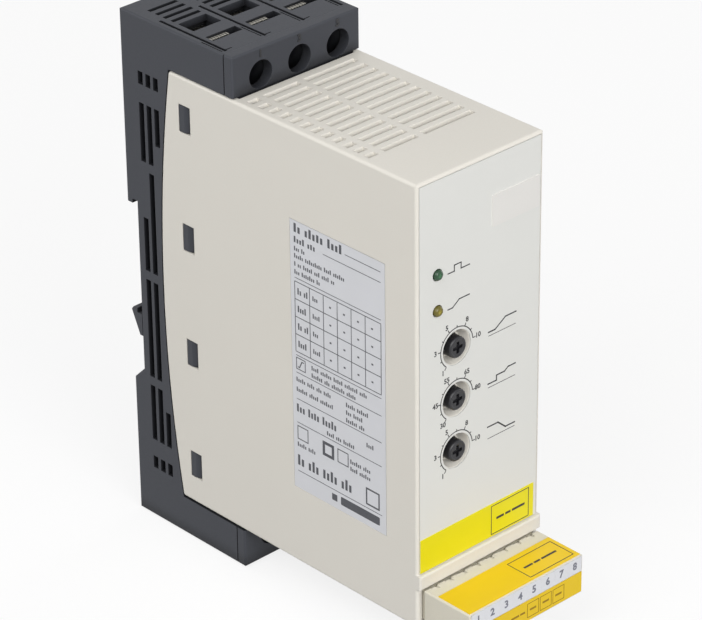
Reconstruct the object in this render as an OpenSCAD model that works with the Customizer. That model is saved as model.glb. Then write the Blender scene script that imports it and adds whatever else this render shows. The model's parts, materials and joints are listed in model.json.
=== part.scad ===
// Soft starter for three-phase motors, held on a 35 mm top-hat rail.
// Millimetres. The front faces -Y, +X is to the right seen from the front and +Z is up.
// The origin is the middle of the rail seat.

/* [Body] */
// Width of the device along the rail
body_w = 45; // [44:0.5:56]
// Height of the rear base with both terminal blocks
base_h = 154; // [150:1:176]
// Depth from the base's rear face to the front panel
front_depth = 112; // [110:1:130]
// Height of each terminal block beyond the front cover
block_h = 12; // [11.5:0.5:15]
// Depth of each terminal block with its shroud
block_depth = 44.4; // [44:0.2:52]
// Wall thickness of the base
base_wall = 2.2; // [1.6:0.1:2.6]
// Wall thickness of the front cover's sides, top and bottom
cover_wall = 2; // [1.4:0.1:2.4]
// Wall thickness of the front cover's panel
panel_wall = 2.4; // [1.8:0.1:3]
// Radius of the front cover's outer edges
cover_edge = 0.9; // [0.4:0.1:1.2]
// Radius of the base's outer edges
base_edge = 0.6; // [0.3:0.1:1]
// Open joint between the base and the front cover
seam = 0.4; // [0.2:0.1:0.8]
// Gap between pieces that fit into each other
fit_gap = 0.2; // [0.1:0.05:0.4]

/* [Rail fixing] */
// Width of the top-hat rail
rail_w = 35; // [35:1:35]
// Height of the rail's middle above the bottom of the base
rail_height = 81; // [78:1:90]
// Depth of the rail recess in the base's rear face
rail_recess = 4.4; // [4:0.2:6]
// Thickness of the hook lip behind the rail's edge
hook_lip_t = 2.3; // [1.6:0.1:2.6]
// Overlap of the hook lip with the rail's edge
hook_lip_h = 1.3; // [0.8:0.1:2]
// Drop from the rail's middle to the lower end of the recess
recess_drop = 34.4; // [32:0.2:38]
// Height of the clip's claw below the rail's edge
claw_h = 6.7; // [5:0.1:8]
// Travel of the clip when it is pulled down
clip_travel = 5; // [3:0.5:6]
// Width of the clip's slider
slider_w = 14; // [12:0.5:18]
// Thickness of the clip's slider
slider_t = 3.4; // [2.6:0.1:3.8]
// Width of the guide flange on each edge of the slider
flange_w = 3; // [2:0.25:4]
// Thickness of the guide flange
flange_t = 1.2; // [0.8:0.1:1.6]
// Length of the slider below the claw
slider_len = 42; // [38:1:46]
// Length of the clip's spring at rest
spring_len = 13; // [11:0.5:16]
// Outer diameter of the clip's spring
spring_d = 3.6; // [3:0.1:3.7]
// Wire diameter of the clip's spring
spring_wire = 0.6; // [0.4:0.05:0.8]
// Turns of the clip's spring
spring_turns = 7; // [4:1:9]

/* [Front cover] */
// Depth of base in front of its rear face, at mid height, before the cover begins
lap_mid = 14.1; // [13:0.1:17]
// Bulge of the cover's curved rear edge
lap_bulge = 5.4; // [3:0.2:7]
// Width of a snap window
window_w = 4.6; // [3.6:0.2:5.6]
// Height of a snap window
window_h = 8.2; // [6:0.2:11]
// Distance between snap windows
window_pitch = 35.2; // [30:0.2:36]
// Depth from the base's rear face to the middle of the snap windows
window_depth = 25; // [24:0.2:27]
// Depth of a snap tab below the cover's side
tab_sink = 0.1; // [0.1:0.05:0.6]
// Play round a snap tab in its window
tab_play = 0.2; // [0.15:0.05:0.4]
// Thickness of the base's tongues inside the cover
tongue_t = 1.8; // [1.4:0.1:2.2]
// Number of vent rows in the top and in the bottom
vent_rows = 12; // [8:1:12]
// Distance between vent rows
vent_pitch = 3.94; // [3.6:0.02:4.2]
// Width of a vent
vent_w = 2.1; // [1.2:0.1:2.6]
// Slope of a vent's rear wall, from its upper to its lower edge
vent_slope = 0.8; // [0.2:0.1:1]
// Distance from the terminal block to the middle of the first vent row
vent_first = 4; // [3:0.1:6]
// Length of the short vents beside the left edge
vent_dot = 3.4; // [2:0.1:4]
// Length of the middle vents
vent_mid = 11.8; // [9:0.2:12]
// Distance from the ends of the long vent slots to the right side
vent_end = 5.2; // [4.8:0.1:7]
// Distance from the left edge to the short vents
vent_margin = 2.3; // [2:0.1:3]
// Bridge between two vents of a row
vent_bridge = 2.1; // [1.6:0.1:2.4]
// Height of the lip above the control plug
lip_h = 4.2; // [3:0.1:6]
// Reach of the lip in front of the panel
lip_proud = 1.2; // [0.8:0.1:1.4]
// Gap between the lip and the control plug
lip_gap = 0.2; // [0.15:0.05:0.5]
// Chamfer round the lip's front
lip_edge = 0.4; // [0.2:0.1:0.6]

/* [Side slots] */
// Width of a side slot
slot_w = 1.95; // [1.2:0.05:2.2]
// Distance between columns of side slots
slot_pitch = 3.05; // [2.8:0.05:3.1]
// Depth from the rear face to the first column
slot_depth = 7.7; // [7.6:0.05:8]
// Length of the end slots
slot_end = 3.8; // [2:0.1:4.5]
// Length of the slots next to the end ones
slot_outer = 17.4; // [12:0.2:17.6]
// Length of the third column's slots
slot_third = 11; // [6:0.2:12]
// Length of the middle slots
slot_inner = 30.4; // [24:0.2:30.6]
// Bridge between two slots of a column
slot_bridge = 2.7; // [2:0.1:4]
// Length of the first column's slot beside the hook
slot_hook = 16.2; // [10:0.2:17]

/* [Power terminals] */
// Distance from the base's side to the outer barrier slots
pole_side = 2.1; // [1.9:0.05:2.4]
// Thickness of the wall between two terminal chambers
pole_wall = 3; // [2.8:0.1:3.4]
// Thickness of the roof over the chambers
roof_t = 2; // [1.4:0.1:2.4]
// Depth of the chambers behind the cover's edge
tub_drop = 8.5; // [7:0.5:11]
// Thickness of the front shroud
shroud_t = 3.3; // [2.4:0.1:4]
// Side of the groove where a shroud meets the base
rebate = 0.35; // [0.2:0.05:0.6]
// Diameter of the driver holes in the shroud
driver_d = 8; // [6:0.2:8.4]
// Distance from the block's end to the middle of the driver holes
driver_drop = 7.7; // [7.2:0.1:9]
// Play between a terminal screw and the side of its cage clamp
screw_play = 0.1; // [0.05:0.05:1]
// Ledge on each side of a conductor well
well_ledge = 0.45; // [0.3:0.05:1.5]
// Depth of a conductor well along the block
well_l = 6.2; // [5:0.1:6.4]
// Length of the clamp slot along the block
clamp_slot_l = 3.1; // [2.4:0.1:3.4]
// Ledge on each side of a clamp slot
clamp_ledge = 0.2; // [0.1:0.05:1]
// Number of louvres for each pole
louvre_n = 4; // [2:1:4]
// Distance between louvres
louvre_pitch = 3.05; // [2.6:0.05:3.2]
// Width of a louvre
louvre_w = 1.4; // [0.8:0.1:1.8]
// Width of the barrier slots between poles
barrier_w = 0.9; // [0.6:0.1:1]
// Length of the barrier slots
barrier_l = 26; // [18:0.5:28]
// Width of the fine grooves beside the barrier slots
groove_w = 0.4; // [0.3:0.05:0.5]
// Depth of the fine grooves
groove_depth = 0.6; // [0.3:0.1:1]
// Wall between a barrier slot and the groove beside it
groove_gap = 0.4; // [0.3:0.05:0.5]
// Reach of the groove across the front end of a barrier slot
groove_reach = 2.4; // [1.6:0.1:2.8]
// Space on each side of a cage clamp
cage_play = 0.7; // [0.5:0.05:1]
// Wall thickness of a cage clamp
cage_t = 1.5; // [1.2:0.1:1.6]
// Space for the conductor inside a cage clamp
wire_space = 4.6; // [4:0.1:5]
// Thickness of the busbars
bus_t = 1.4; // [1:0.1:1.6]
// Space between two busbars on the power board
bus_gap = 7.2; // [7:0.1:8.6]
// Play on each side of a busbar tongue inside its cage clamp
bus_play = 0.3; // [0.2:0.05:0.8]
// Shank diameter of the terminal screws
term_screw_d = 4; // [3:0.1:4.4]
// Head diameter of the terminal screws
term_head_d = 6.8; // [5.6:0.1:7]
// Head length of the terminal screws
term_head_l = 4.3; // [3:0.1:4.6]

/* [Inside] */
// Thickness of both circuit boards
pcb_t = 1.6; // [1.2:0.1:2]
// Distance from the rail seat to the power board
power_gap = 18; // [17.6:0.1:18.4]
// Length of a bypass relay
relay_l = 28; // [24:1:30]
// Width of a bypass relay
relay_w = 12; // [10:0.5:12]
// Height of a bypass relay above the power board
relay_h = 15.4; // [12:0.2:16]
// Distance from the power board to the heat sink
sink_gap = 24.4; // [23:0.2:26]
// Length of the heat sink
sink_l = 76; // [70:1:76]
// Height of the heat sink's middle above the base's middle
sink_rise = 10; // [8:0.5:11]
// Depth of the heat sink with its fins
sink_d = 42; // [30:1:42]
// Thickness of the heat sink's plate
sink_t = 4; // [3:0.5:5]
// Distance between fins
fin_pitch = 3.4; // [3.2:0.1:3.5]
// Thickness of a fin
fin_t = 1.2; // [0.8:0.1:1.4]
// Diameter of the heat sink's spacers
spacer_d = 5; // [4:0.1:5.2]
// Thread diameter of the spacers and of the heat sink's screws
sink_screw_d = 2.5; // [2:0.1:3]
// Thickness of a thyristor module
thyristor_t = 5; // [4:0.2:6]
// Width of a thyristor module
thyristor_w = 15.6; // [12:0.2:16]
// Length of a thyristor module
thyristor_l = 21; // [18:0.5:21]
// Distance from the heat sink's upper end to the thyristor modules
thyristor_inset = 8; // [7:0.5:10]
// Distance from the front panel to the control board
control_gap = 9.6; // [9.4:0.1:10.4]
// Height of the pieces behind the control board
behind_h = 7.6; // [6:0.2:7.8]
// Distance from the cover's top to the control board
control_drop = 11; // [10:0.5:13]
// Distance from the cover's bottom to the lower screws of the control board
boss_rise = 25; // [24:0.5:28]
// Width of the supply transformer
transformer_w = 16; // [12:0.5:16]
// Height of the supply transformer
transformer_h = 18; // [14:0.5:19]
// Length of a capacitor
cap_l = 14; // [10:0.5:16]
// Distance between the capacitors' middles
cap_pitch = 20; // [17:0.5:22]
// Width of the link cable between the boards
link_w = 3.8; // [3:0.1:4]
// Thickness of the link cable
link_t = 1; // [0.6:0.1:1.2]

/* [Panel] */
// Distance from the left side to the middle of the dials
dial_inset = 14.2; // [13.5:0.1:15.5]
// Distance from the cover's top to the first dial
dial_drop = 50.9; // [48:0.1:54]
// Distance between dials
dial_pitch = 15.3; // [14:0.1:17]
// Diameter of a dial
dial_d = 6; // [5:0.1:7]
// Reach of a dial in front of the panel
dial_proud = 0.5; // [0:0.1:1]
// Diameter of the recess around a dial
cup_d = 10; // [9.4:0.1:11]
// Depth of the recess around a dial
cup_depth = 3.2; // [2.6:0.1:3.6]
// Taper of the recess, as its loss of radius for each millimetre of depth
cup_taper = 0.42; // [0.1:0.02:0.5]
// Wall thickness of the recess
cup_wall = 1; // [0.8:0.1:1.4]
// Stem diameter of a dial
stem_d = 3; // [2:0.1:3.6]
// Radial clearance of a dial's stem in its trimmer
stem_play = 0.05; // [0.02:0.01:0.09]
// Width of the driver cross in a dial
cross_w = 1; // [0.6:0.1:1.4]
// Length of the driver cross in a dial
cross_l = 3.4; // [2.6:0.1:4.4]
// Side of a trimmer's body
trimmer_w = 9.6; // [7:0.2:10]
// Distance from the left side to the middle of the lights
light_inset = 7.3; // [6.5:0.1:8.5]
// Distance from the cover's top to the first light
light_drop = 27.5; // [26:0.1:30]
// Distance between the lights
light_pitch = 10.3; // [8:0.1:12]
// Diameter of a light
light_d = 3; // [2.6:0.1:4]
// Reach of a light's dome in front of the panel
light_proud = 1; // [0.5:0.1:1.2]
// Thickness of the front sheet
sheet_t = 0.4; // [0.3:0.05:0.6]
// Margin of cover around the front sheet
sheet_margin = 0.9; // [0.6:0.1:1.5]
// Thickness of the labels
label_t = 0.2; // [0.1:0.05:0.3]
// Height of the yellow band on the front sheet
band_h = 10; // [6:0.5:12]
// Distance from the yellow band's right end to the sheet's edge
band_end = 1.2; // [0.4:0.1:3]
// Width of the blank marker tag
tag_w = 17; // [12:0.5:18]
// Height of the blank marker tag
tag_h = 9; // [6:0.5:10]
// Distance from the cover's top to the marker tag
tag_drop = 12; // [10:0.5:13]
// Width of the side label
side_label_w = 35.4; // [28:0.2:37]
// Height of the side label
side_label_h = 80.5; // [70:0.5:84]
// Distance from the panel to the side label
side_label_gap = 11.4; // [10:0.2:14]
// Distance from the cover's top to the side label
side_label_drop = 26; // [24:0.5:30]

/* [Control plug] */
// Number of control poles
plug_poles = 8; // [6:1:8]
// Distance from the body's side to the first pole of the control plug
plug_side = 2.18; // [2.1:0.02:2.4]
// Distance from the body's side to the side of the control plug
plug_inset = 1.3; // [1.1:0.05:1.5]
// Height of the plug's head
plug_h = 11.8; // [11.4:0.1:12]
// Reach of the plug in front of the panel
plug_reach = 18; // [17:0.5:21]
// Open space between the panel and the plug's head
plug_stand = 1.1; // [1:0.1:2]
// Radius of the plug's edges
plug_edge = 0.5; // [0.3:0.1:0.8]
// Height of the plug's nose
nose_h = 6.4; // [6:0.1:6.6]
// Depth of the plug's nose inside its header
nose_l = 6.4; // [5:0.2:6.6]
// Wall thickness of the header
header_t = 1; // [0.8:0.1:1.1]
// Side of a header pin
pin_w = 1; // [0.8:0.1:1]
// Side of a plug contact
contact_w = 2.6; // [2.2:0.1:2.8]
// Wall between two conductor entries of the control plug
entry_wall = 0.88; // [0.7:0.02:0.96]
// Depth of a conductor entry up to the spring
entry_depth = 4.6; // [4.4:0.1:4.8]
// Width of the notches in the plug's rear edge
notch_w = 2.6; // [1.6:0.1:3]
// Depth of the notches along the plug
notch_l = 0.6; // [0.3:0.1:1]
// Width of the groove that runs on from a notch
tick_w = 0.8; // [0.5:0.1:1]
// Length of the groove that runs on from a notch
tick_l = 1.8; // [1.2:0.1:2.2]
// Margin of the plug's labels
label_margin = 0.6; // [0.5:0.1:1]
// Depth of the plug's top label
top_label_l = 11.5; // [8:0.2:12]
// Height of the plug's front label
front_label_h = 6.2; // [4:0.1:7]

/* [Hidden] */
half_w = body_w / 2;
rear_y = rail_recess;
panel_y = rear_y - front_depth;
block_y = rear_y - block_depth;
bottom_z = -rail_height;
top_z = base_h - rail_height;
mid_z = (bottom_z + top_z) / 2;
cover_top_z = top_z - block_h;
cover_bottom_z = bottom_z + block_h;
cover_h = cover_top_z - cover_bottom_z;
arc_r = (pow(cover_h / 2, 2) + pow(lap_bulge, 2)) / (2 * lap_bulge);
arc_y = rear_y - lap_mid - arc_r;
cover_in_x = half_w - cover_wall;
tongue_x = cover_in_x - fit_gap;
cavity_x = tongue_x - tongue_t;
vent_long = body_w - vent_margin - vent_dot - vent_mid - 2 * vent_bridge - vent_end;
window_y = rear_y - window_depth;
window_z = [for (i = [-1.5 : 1 : 1.5]) mid_z + i * window_pitch];
lip_y = rear_y - hook_lip_t;
rail_edge_z = rail_w / 2;

tub_z = cover_top_z - tub_drop;
chamber_z = tub_z + base_wall;
pole_pitch = (body_w - 2 * pole_side) / 3;
pole_x = [-pole_pitch, 0, pole_pitch];
chamber_w = pole_pitch - pole_wall;
well_w = chamber_w - 2 * well_ledge;
clamp_slot_w = chamber_w - 2 * clamp_ledge;
cage_w = chamber_w - 2 * cage_play;
cage_tab_w = cage_w - 2 * cage_t;
driver_shift = (cage_tab_w - term_screw_d) / 2 - screw_play;
bus_w = pole_pitch - bus_gap;
bus_tongue_w = cage_tab_w - 2 * bus_play;
power_y = -power_gap - pcb_t;
bus_y = power_y - bus_t;
cage_rear_y = power_y + wire_space + cage_t;
chamber_rear_y = cage_rear_y + fit_gap;
well_y0 = chamber_rear_y - 1.3 - well_l;
clamp_slot_y1 = well_y0 - 4.9;
cage_front_y = clamp_slot_y1 - cage_t - fit_gap;
driver_z = top_z - driver_drop;
louvre_y = chamber_rear_y + 0.4 + louvre_w / 2;
plenum_y = chamber_rear_y + base_wall / 2;

clip_z = -rail_edge_z - claw_h;
slider_end_z = clip_z - slider_len;
guide_w = slider_w + 2 * flange_w;
spring_window_w = spring_d + 2 * fit_gap + 0.4;
spring_top_z = clip_z - 15.5;
post_top_z = spring_top_z - spring_len;
post_h = 4;

sink_y = power_y - sink_gap;
sink_top_z = mid_z + sink_rise + sink_l / 2;
sink_bottom_z = sink_top_z - sink_l;
spacer_x = 2 * fin_pitch;
spacer_z = [sink_top_z - 4, sink_bottom_z + 4];
thyristor_z = sink_top_z - thyristor_inset - thyristor_l / 2;
control_y = panel_y + control_gap;
control_half_w = cover_in_x - 1.9;
control_top_z = cover_top_z - control_drop;
link_x = -spacer_x - 0.3;
link_z = sink_bottom_z - 4.5;
board_screw_d = 1.6;
board_boss = [control_half_w - 2.2, control_top_z - 5, cover_bottom_z + boss_rise];

dial_x = dial_inset - half_w;
light_x = light_inset - half_w;
dial_z = [for (i = [0 : 2]) cover_top_z - dial_drop - i * dial_pitch];
cup_y = panel_y + cup_depth;
trimmer_y = cup_y + cup_wall + 0.1;
light_z = [for (i = [0 : 1]) cover_top_z - light_drop - i * light_pitch];

plug_top_z = cover_bottom_z + plug_h;
plug_rear_y = panel_y - plug_stand;
plug_front_y = panel_y - plug_reach;
lip_bottom_z = plug_top_z + lip_gap;
lip_top_z = lip_bottom_z + lip_h;
plug_w = body_w - 2 * plug_inset;
plug_pitch = (body_w - 2 * plug_side) / plug_poles;
entry_w = plug_pitch - entry_wall;
nose_w = plug_poles * plug_pitch - 2.2;
nose_z = cover_bottom_z + cover_wall + fit_gap + header_t + fit_gap + nose_h / 2;
nose_end_y = panel_y + nose_l;
header_half_w = nose_w / 2 + fit_gap + header_t;
header_half_h = nose_h / 2 + fit_gap + header_t;
header_front_y = panel_y - plug_stand / 2;
control_x = [for (i = [0 : plug_poles - 1]) (i - (plug_poles - 1) / 2) * plug_pitch];
contact_y = nose_end_y - 1;
entry_y = plug_front_y + 5;
sheet_x = half_w - sheet_margin;
sheet_z = [lip_top_z + 0.1, cover_top_z - sheet_margin];

// Box between two opposite corners
module block(a, b) {
  translate(a)
    cube(b - a);
}

// Round bar along the depth
module bar_y(x, z, d, y0, y1) {
  translate([x, y1, z])
    rotate([90, 0, 0])
      cylinder(d = d, h = y1 - y0, $fn = 48);
}

// Prism across the width from an outline drawn in depth and height
module across(w) {
  rotate([90, 0, 90])
    linear_extrude(height = w, center = true)
      children();
}

// Outline of a rectangle with rounded corners
module soft_rect(a, b, r) {
  translate([a[0] + r, a[1]])
    square([b[0] - a[0] - 2 * r, b[1] - a[1]]);
  translate([a[0], a[1] + r])
    square([b[0] - a[0], b[1] - a[1] - 2 * r]);
  for (x = [a[0] + r, b[0] - r], y = [a[1] + r, b[1] - r])
    translate([x, y])
      circle(r, $fn = 32);
}

// Box with all its edges rounded
module soft_block(a, b, r) {
  intersection() {
    translate([0, 0, a[2]])
      linear_extrude(height = b[2] - a[2])
        soft_rect([a[0], a[1]], [b[0], b[1]], r);
    translate([(a[0] + b[0]) / 2, 0, 0])
      across(b[0] - a[0])
        soft_rect([a[1], a[2]], [b[1], b[2]], r);
    translate([0, b[1], 0])
      rotate([90, 0, 0])
        linear_extrude(height = b[1] - a[1])
          soft_rect([a[0], a[2]], [b[0], b[2]], r);
  }
}

// The same thing on the right side and mirrored on the left
module both_sides() {
  children();
  mirror([1, 0, 0])
    children();
}

// Mirrored from the upper end to the lower one
module lower_end() {
  translate([0, 0, 2 * mid_z])
    mirror([0, 0, 1])
      children();
}

// The same thing at the upper end and mirrored at the lower one
module both_ends() {
  children();
  lower_end()
    children();
}

// Outer limit of the base and its shrouds
module base_envelope() {
  soft_block([-half_w, block_y, bottom_z], [half_w, rear_y, top_z], base_edge);
}

// Base's side view behind the cover, with the rail recess and the fixed hook
module tray_outline() {
  difference() {
    polygon([
      [block_y + shroud_t, bottom_z],
      [rear_y, bottom_z],
      [rear_y, -recess_drop - rail_recess],
      [0, -recess_drop],
      [0, rail_edge_z],
      [lip_y, rail_edge_z],
      [lip_y, rail_edge_z - hook_lip_h],
      [rear_y, rail_edge_z - hook_lip_h],
      [rear_y, top_z],
      [block_y + shroud_t, top_z]
    ]);
    translate([arc_y, mid_z])
      circle(arc_r + seam, $fn = 360);
  }
}

// Snap tabs of the base on one side
module snap_tabs() {
  for (z = window_z)
    translate([0, window_y, z - window_h / 2 + tab_play])
      linear_extrude(height = window_h - 2 * tab_play)
        polygon([
          [tongue_x - 0.5, -window_w / 2 + tab_play],
          [half_w - cover_wall / 2, -window_w / 2 + tab_play],
          [half_w - tab_sink, 0.2],
          [half_w - tab_sink, window_w / 2 - tab_play],
          [tongue_x - 0.5, window_w / 2 - tab_play]
        ]);
}

// One side slot of the base, from its column and its two ends
module side_slot(column, z0, z1) {
  y = rear_y - slot_depth - column * slot_pitch;
  block([cavity_x - 1, y - slot_w / 2, z0], [half_w + 1, y + slot_w / 2, z1]);
}

// Side slots of one end, from the middle outwards
module side_slots(hooked) {
  inner = mid_z + slot_bridge / 2;
  outer = inner + slot_inner + slot_bridge;
  last = outer + slot_outer;
  side_slot(0, inner, inner + (hooked ? slot_hook : slot_inner));
  side_slot(1, inner, inner + slot_inner);
  side_slot(0, outer, last);
  side_slot(1, outer, last);
  side_slot(2, last - slot_third, last);
  for (column = [0 : 2])
    side_slot(column, last + 5.4, last + 5.4 + slot_end);
}

// Space for the clamps of one terminal row with its wells, slots and louvres
module terminal_cuts() {
  for (x = pole_x) {
    block([x - chamber_w / 2, block_y - 1, chamber_z],
      [x + chamber_w / 2, chamber_rear_y, top_z - roof_t]);
    block([x - well_w / 2, well_y0, top_z - roof_t - 1], [x + well_w / 2, well_y0 + well_l, top_z + 1]);
    block([x - clamp_slot_w / 2, clamp_slot_y1 - clamp_slot_l, top_z - roof_t - 1],
      [x + clamp_slot_w / 2, clamp_slot_y1, top_z + 1]);
    for (i = [0 : louvre_n - 1])
      block([x - well_w / 2, louvre_y + i * louvre_pitch - louvre_w / 2, top_z - roof_t],
        [x + well_w / 2, louvre_y + i * louvre_pitch + louvre_w / 2, top_z + 1]);
    block([x - bus_tongue_w / 2 - fit_gap, bus_y - fit_gap, tub_z - 1],
      [x + bus_tongue_w / 2 + fit_gap, power_y + fit_gap, chamber_z + 1]);
  }
  barrier_y = block_y + shroud_t + 1;
  for (i = [-1.5 : 1 : 1.5]) {
    x = i * pole_pitch;
    groove_x = x - barrier_w / 2 - groove_gap - groove_w;
    block([x - barrier_w / 2, barrier_y, top_z - roof_t - 1],
      [x + barrier_w / 2, barrier_y + barrier_l, top_z + 1]);
    block([groove_x, barrier_y + groove_w, top_z - groove_depth],
      [groove_x + groove_w, clamp_slot_y1 - clamp_slot_l / 2, top_z + 1]);
  }
  for (i = [-1.5 : 1 : 0.5])
    block([i * pole_pitch, barrier_y + groove_w, top_z - groove_depth],
      [i * pole_pitch + groove_reach, barrier_y + 2 * groove_w, top_z + 1]);
  for (x = [-pole_pitch / 2, pole_pitch / 2])
    bar_y(x, chamber_z + 3, 1.8, block_y, block_y + shroud_t + 4.2);
}

// Guide of the clip's slider in the base's rear face
module clip_guide() {
  end_z = slider_end_z - clip_travel - 0.6;
  block([-guide_w / 2 - fit_gap, 0, end_z],
    [guide_w / 2 + fit_gap, flange_t + 2 * fit_gap, -recess_drop + 1]);
  block([-slider_w / 2 - fit_gap, 0, end_z], [slider_w / 2 + fit_gap, rear_y + 1, -recess_drop + 1]);
}

module base_housing() {
  color("#4b4d52")
    difference() {
      union() {
        intersection() {
          union() {
            across(body_w)
              tray_outline();
            both_ends()
              block([-half_w, block_y + shroud_t, cover_top_z + seam], [half_w, rear_y, top_z]);
          }
          base_envelope();
        }
        both_ends()
          block([-tongue_x, block_y + shroud_t, tub_z],
            [tongue_x, chamber_rear_y + base_wall, cover_top_z + 1]);
        both_sides() {
          block([cavity_x, window_y - window_w / 2 - 2, cover_bottom_z + tub_drop - 1],
            [tongue_x, rear_y - lap_mid + 1, tub_z + 1]);
          snap_tabs();
        }
      }
      block([-cavity_x, -front_depth, 2 * mid_z - tub_z], [cavity_x, -base_wall, tub_z]);
      block([-cavity_x, plenum_y, rail_edge_z + base_wall],
        [cavity_x, rear_y - base_wall, top_z - roof_t]);
      both_sides()
        block([guide_w / 2 + 2, plenum_y, bottom_z + roof_t],
          [cavity_x, rear_y - base_wall, -recess_drop - rail_recess - base_wall]);
      block([-cavity_x, plenum_y, bottom_z + roof_t], [cavity_x, -base_wall, 2 * mid_z - tub_z + 1]);
      both_ends()
        terminal_cuts();
      both_sides() {
        side_slots(true);
        lower_end()
          side_slots(false);
      }
      clip_guide();
    }
  color("#4b4d52") {
    for (x = [-spacer_x, spacer_x], z = spacer_z)
      difference() {
        bar_y(x, z, spacer_d + 2, -power_gap, (z > rail_edge_z ? rear_y : 0) - base_wall / 2);
        bar_y(x, z, sink_screw_d + 0.1, -power_gap - 1, -power_gap + 8);
      }
    block([-spring_d / 2, -base_wall / 2, post_top_z - post_h],
      [spring_d / 2, slider_t - 0.4, post_top_z]);
  }
}

// Front plate of a terminal block with its driver holes and pegs
module shroud() {
  color("#4b4d52")
    difference() {
      union() {
        intersection() {
          base_envelope();
          block([-half_w, block_y, cover_top_z + seam], [half_w, block_y + shroud_t, top_z]);
        }
        block([-tongue_x, block_y + 0.3, tub_z],
          [tongue_x, block_y + shroud_t, cover_top_z + seam + 0.5]);
        for (x = [-pole_pitch / 2, pole_pitch / 2])
          bar_y(x, chamber_z + 3, 1.7, block_y + 1, block_y + shroud_t + 4);
      }
      for (x = pole_x)
        bar_y(x + driver_shift, driver_z, driver_d, block_y - 1, block_y + shroud_t + 1);
      both_sides()
        block([half_w - rebate, block_y + shroud_t - rebate, cover_top_z],
          [half_w + 1, block_y + shroud_t + 1, top_z + 1]);
    }
}

module line_shroud() {
  shroud();
}

module load_shroud() {
  lower_end()
    shroud();
}

module din_clip() {
  color("#3c3e42")
    difference() {
      union() {
        across(body_w)
          polygon([
            [fit_gap, clip_z],
            [fit_gap, -rail_edge_z],
            [lip_y, -rail_edge_z],
            [lip_y, -rail_edge_z + hook_lip_h],
            [rear_y - 0.8, -rail_edge_z + hook_lip_h],
            [rear_y, -rail_edge_z + 0.3],
            [fit_gap + 1, clip_z]
          ]);
        block([-guide_w / 2, fit_gap, slider_end_z], [guide_w / 2, fit_gap + flange_t, clip_z + 1]);
        block([-slider_w / 2, fit_gap, slider_end_z], [slider_w / 2, fit_gap + slider_t, clip_z + 1]);
      }
      block([-spring_window_w / 2, -1, post_top_z - post_h - 0.1],
        [spring_window_w / 2, rear_y + 1, spring_top_z]);
      block([-3.2, -1, slider_end_z + 2.2], [3.2, rear_y + 1, slider_end_z + 4.6]);
    }
}

module din_clip_spring() {
  turns = spring_turns;
  steps = turns * 16;
  r = (spring_d - spring_wire) / 2;
  w = spring_wire / 2;
  rise = spring_len - spring_wire - 0.2;
  ring = [for (k = [0 : 5]) [r + w * cos(60 * k), w * sin(60 * k)]];
  color("#b8b8b4")
    translate([0, fit_gap + slider_t / 2, post_top_z + 0.1 + w])
      polyhedron(
        points = [for (i = [0 : steps], p = ring)
          [p[0] * cos(i * 22.5), p[0] * sin(i * 22.5), p[1] + rise * i / steps]],
        faces = concat(
          [[0, 1, 2, 3, 4, 5]],
          [for (i = [0 : steps - 1], k = [0 : 5])
            [i * 6 + k, (i + 1) * 6 + k, (i + 1) * 6 + (k + 1) % 6, i * 6 + (k + 1) % 6]],
          [[for (k = [5 : -1 : 0]) steps * 6 + k]]
        )
      );
}

// Vents of the cover's top, row by row
module cover_vents() {
  dot_x = -half_w + vent_margin;
  mid_x = dot_x + vent_dot + vent_bridge;
  long_x = mid_x + vent_mid + vent_bridge;
  for (i = [0 : vent_rows - 1]) {
    y = block_y - vent_first - i * vent_pitch;
    for (v = [[dot_x, vent_dot], [mid_x, vent_mid], [long_x, vent_long]])
      translate([v[0] + v[1] / 2, y, cover_top_z])
        across(v[1])
          polygon([
            [-vent_w / 2, -cover_wall - 1],
            [vent_w / 2 - vent_slope, -cover_wall - 1],
            [vent_w / 2 - vent_slope, -cover_wall],
            [vent_w / 2, 0],
            [vent_w / 2, 1],
            [-vent_w / 2, 1]
          ]);
  }
}

// Lip above the control plug, chamfered round its front
module plug_lip() {
  front_y = panel_y - lip_proud;
  root_y = panel_y + 1.5;
  intersection() {
    across(body_w)
      polygon([
        [root_y, lip_bottom_z],
        [front_y + lip_edge, lip_bottom_z],
        [front_y, lip_bottom_z + lip_edge],
        [front_y, lip_top_z - lip_edge],
        [front_y + lip_edge, lip_top_z],
        [root_y, lip_top_z]
      ]);
    translate([0, 0, lip_bottom_z - 1])
      linear_extrude(height = lip_h + 2)
        polygon([
          [-half_w, root_y],
          [-half_w, front_y + lip_edge],
          [-half_w + lip_edge, front_y],
          [half_w - lip_edge, front_y],
          [half_w, front_y + lip_edge],
          [half_w, root_y]
        ]);
  }
}

// Outside of the cover with its curved rear edge and its lip
module cover_outside() {
  intersection() {
    soft_block([-half_w, panel_y, cover_bottom_z], [half_w, rear_y, cover_top_z], cover_edge);
    across(body_w)
      translate([arc_y, mid_z])
        circle(arc_r, $fn = 360);
  }
  plug_lip();
}

// Inside of the cover, open to the rear
module cover_inside() {
  block([-cover_in_x, panel_y + panel_wall, cover_bottom_z + cover_wall],
    [cover_in_x, rear_y, cover_top_z - cover_wall]);
  both_ends() {
    block([-cover_in_x, block_y - seam, tub_z], [cover_in_x, rear_y, cover_top_z + 1]);
    cover_vents();
  }
  both_sides()
    for (z = window_z)
      block([cover_in_x - 1, window_y - window_w / 2, z - window_h / 2],
        [half_w + 1, window_y + window_w / 2, z + window_h / 2]);
}

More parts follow.
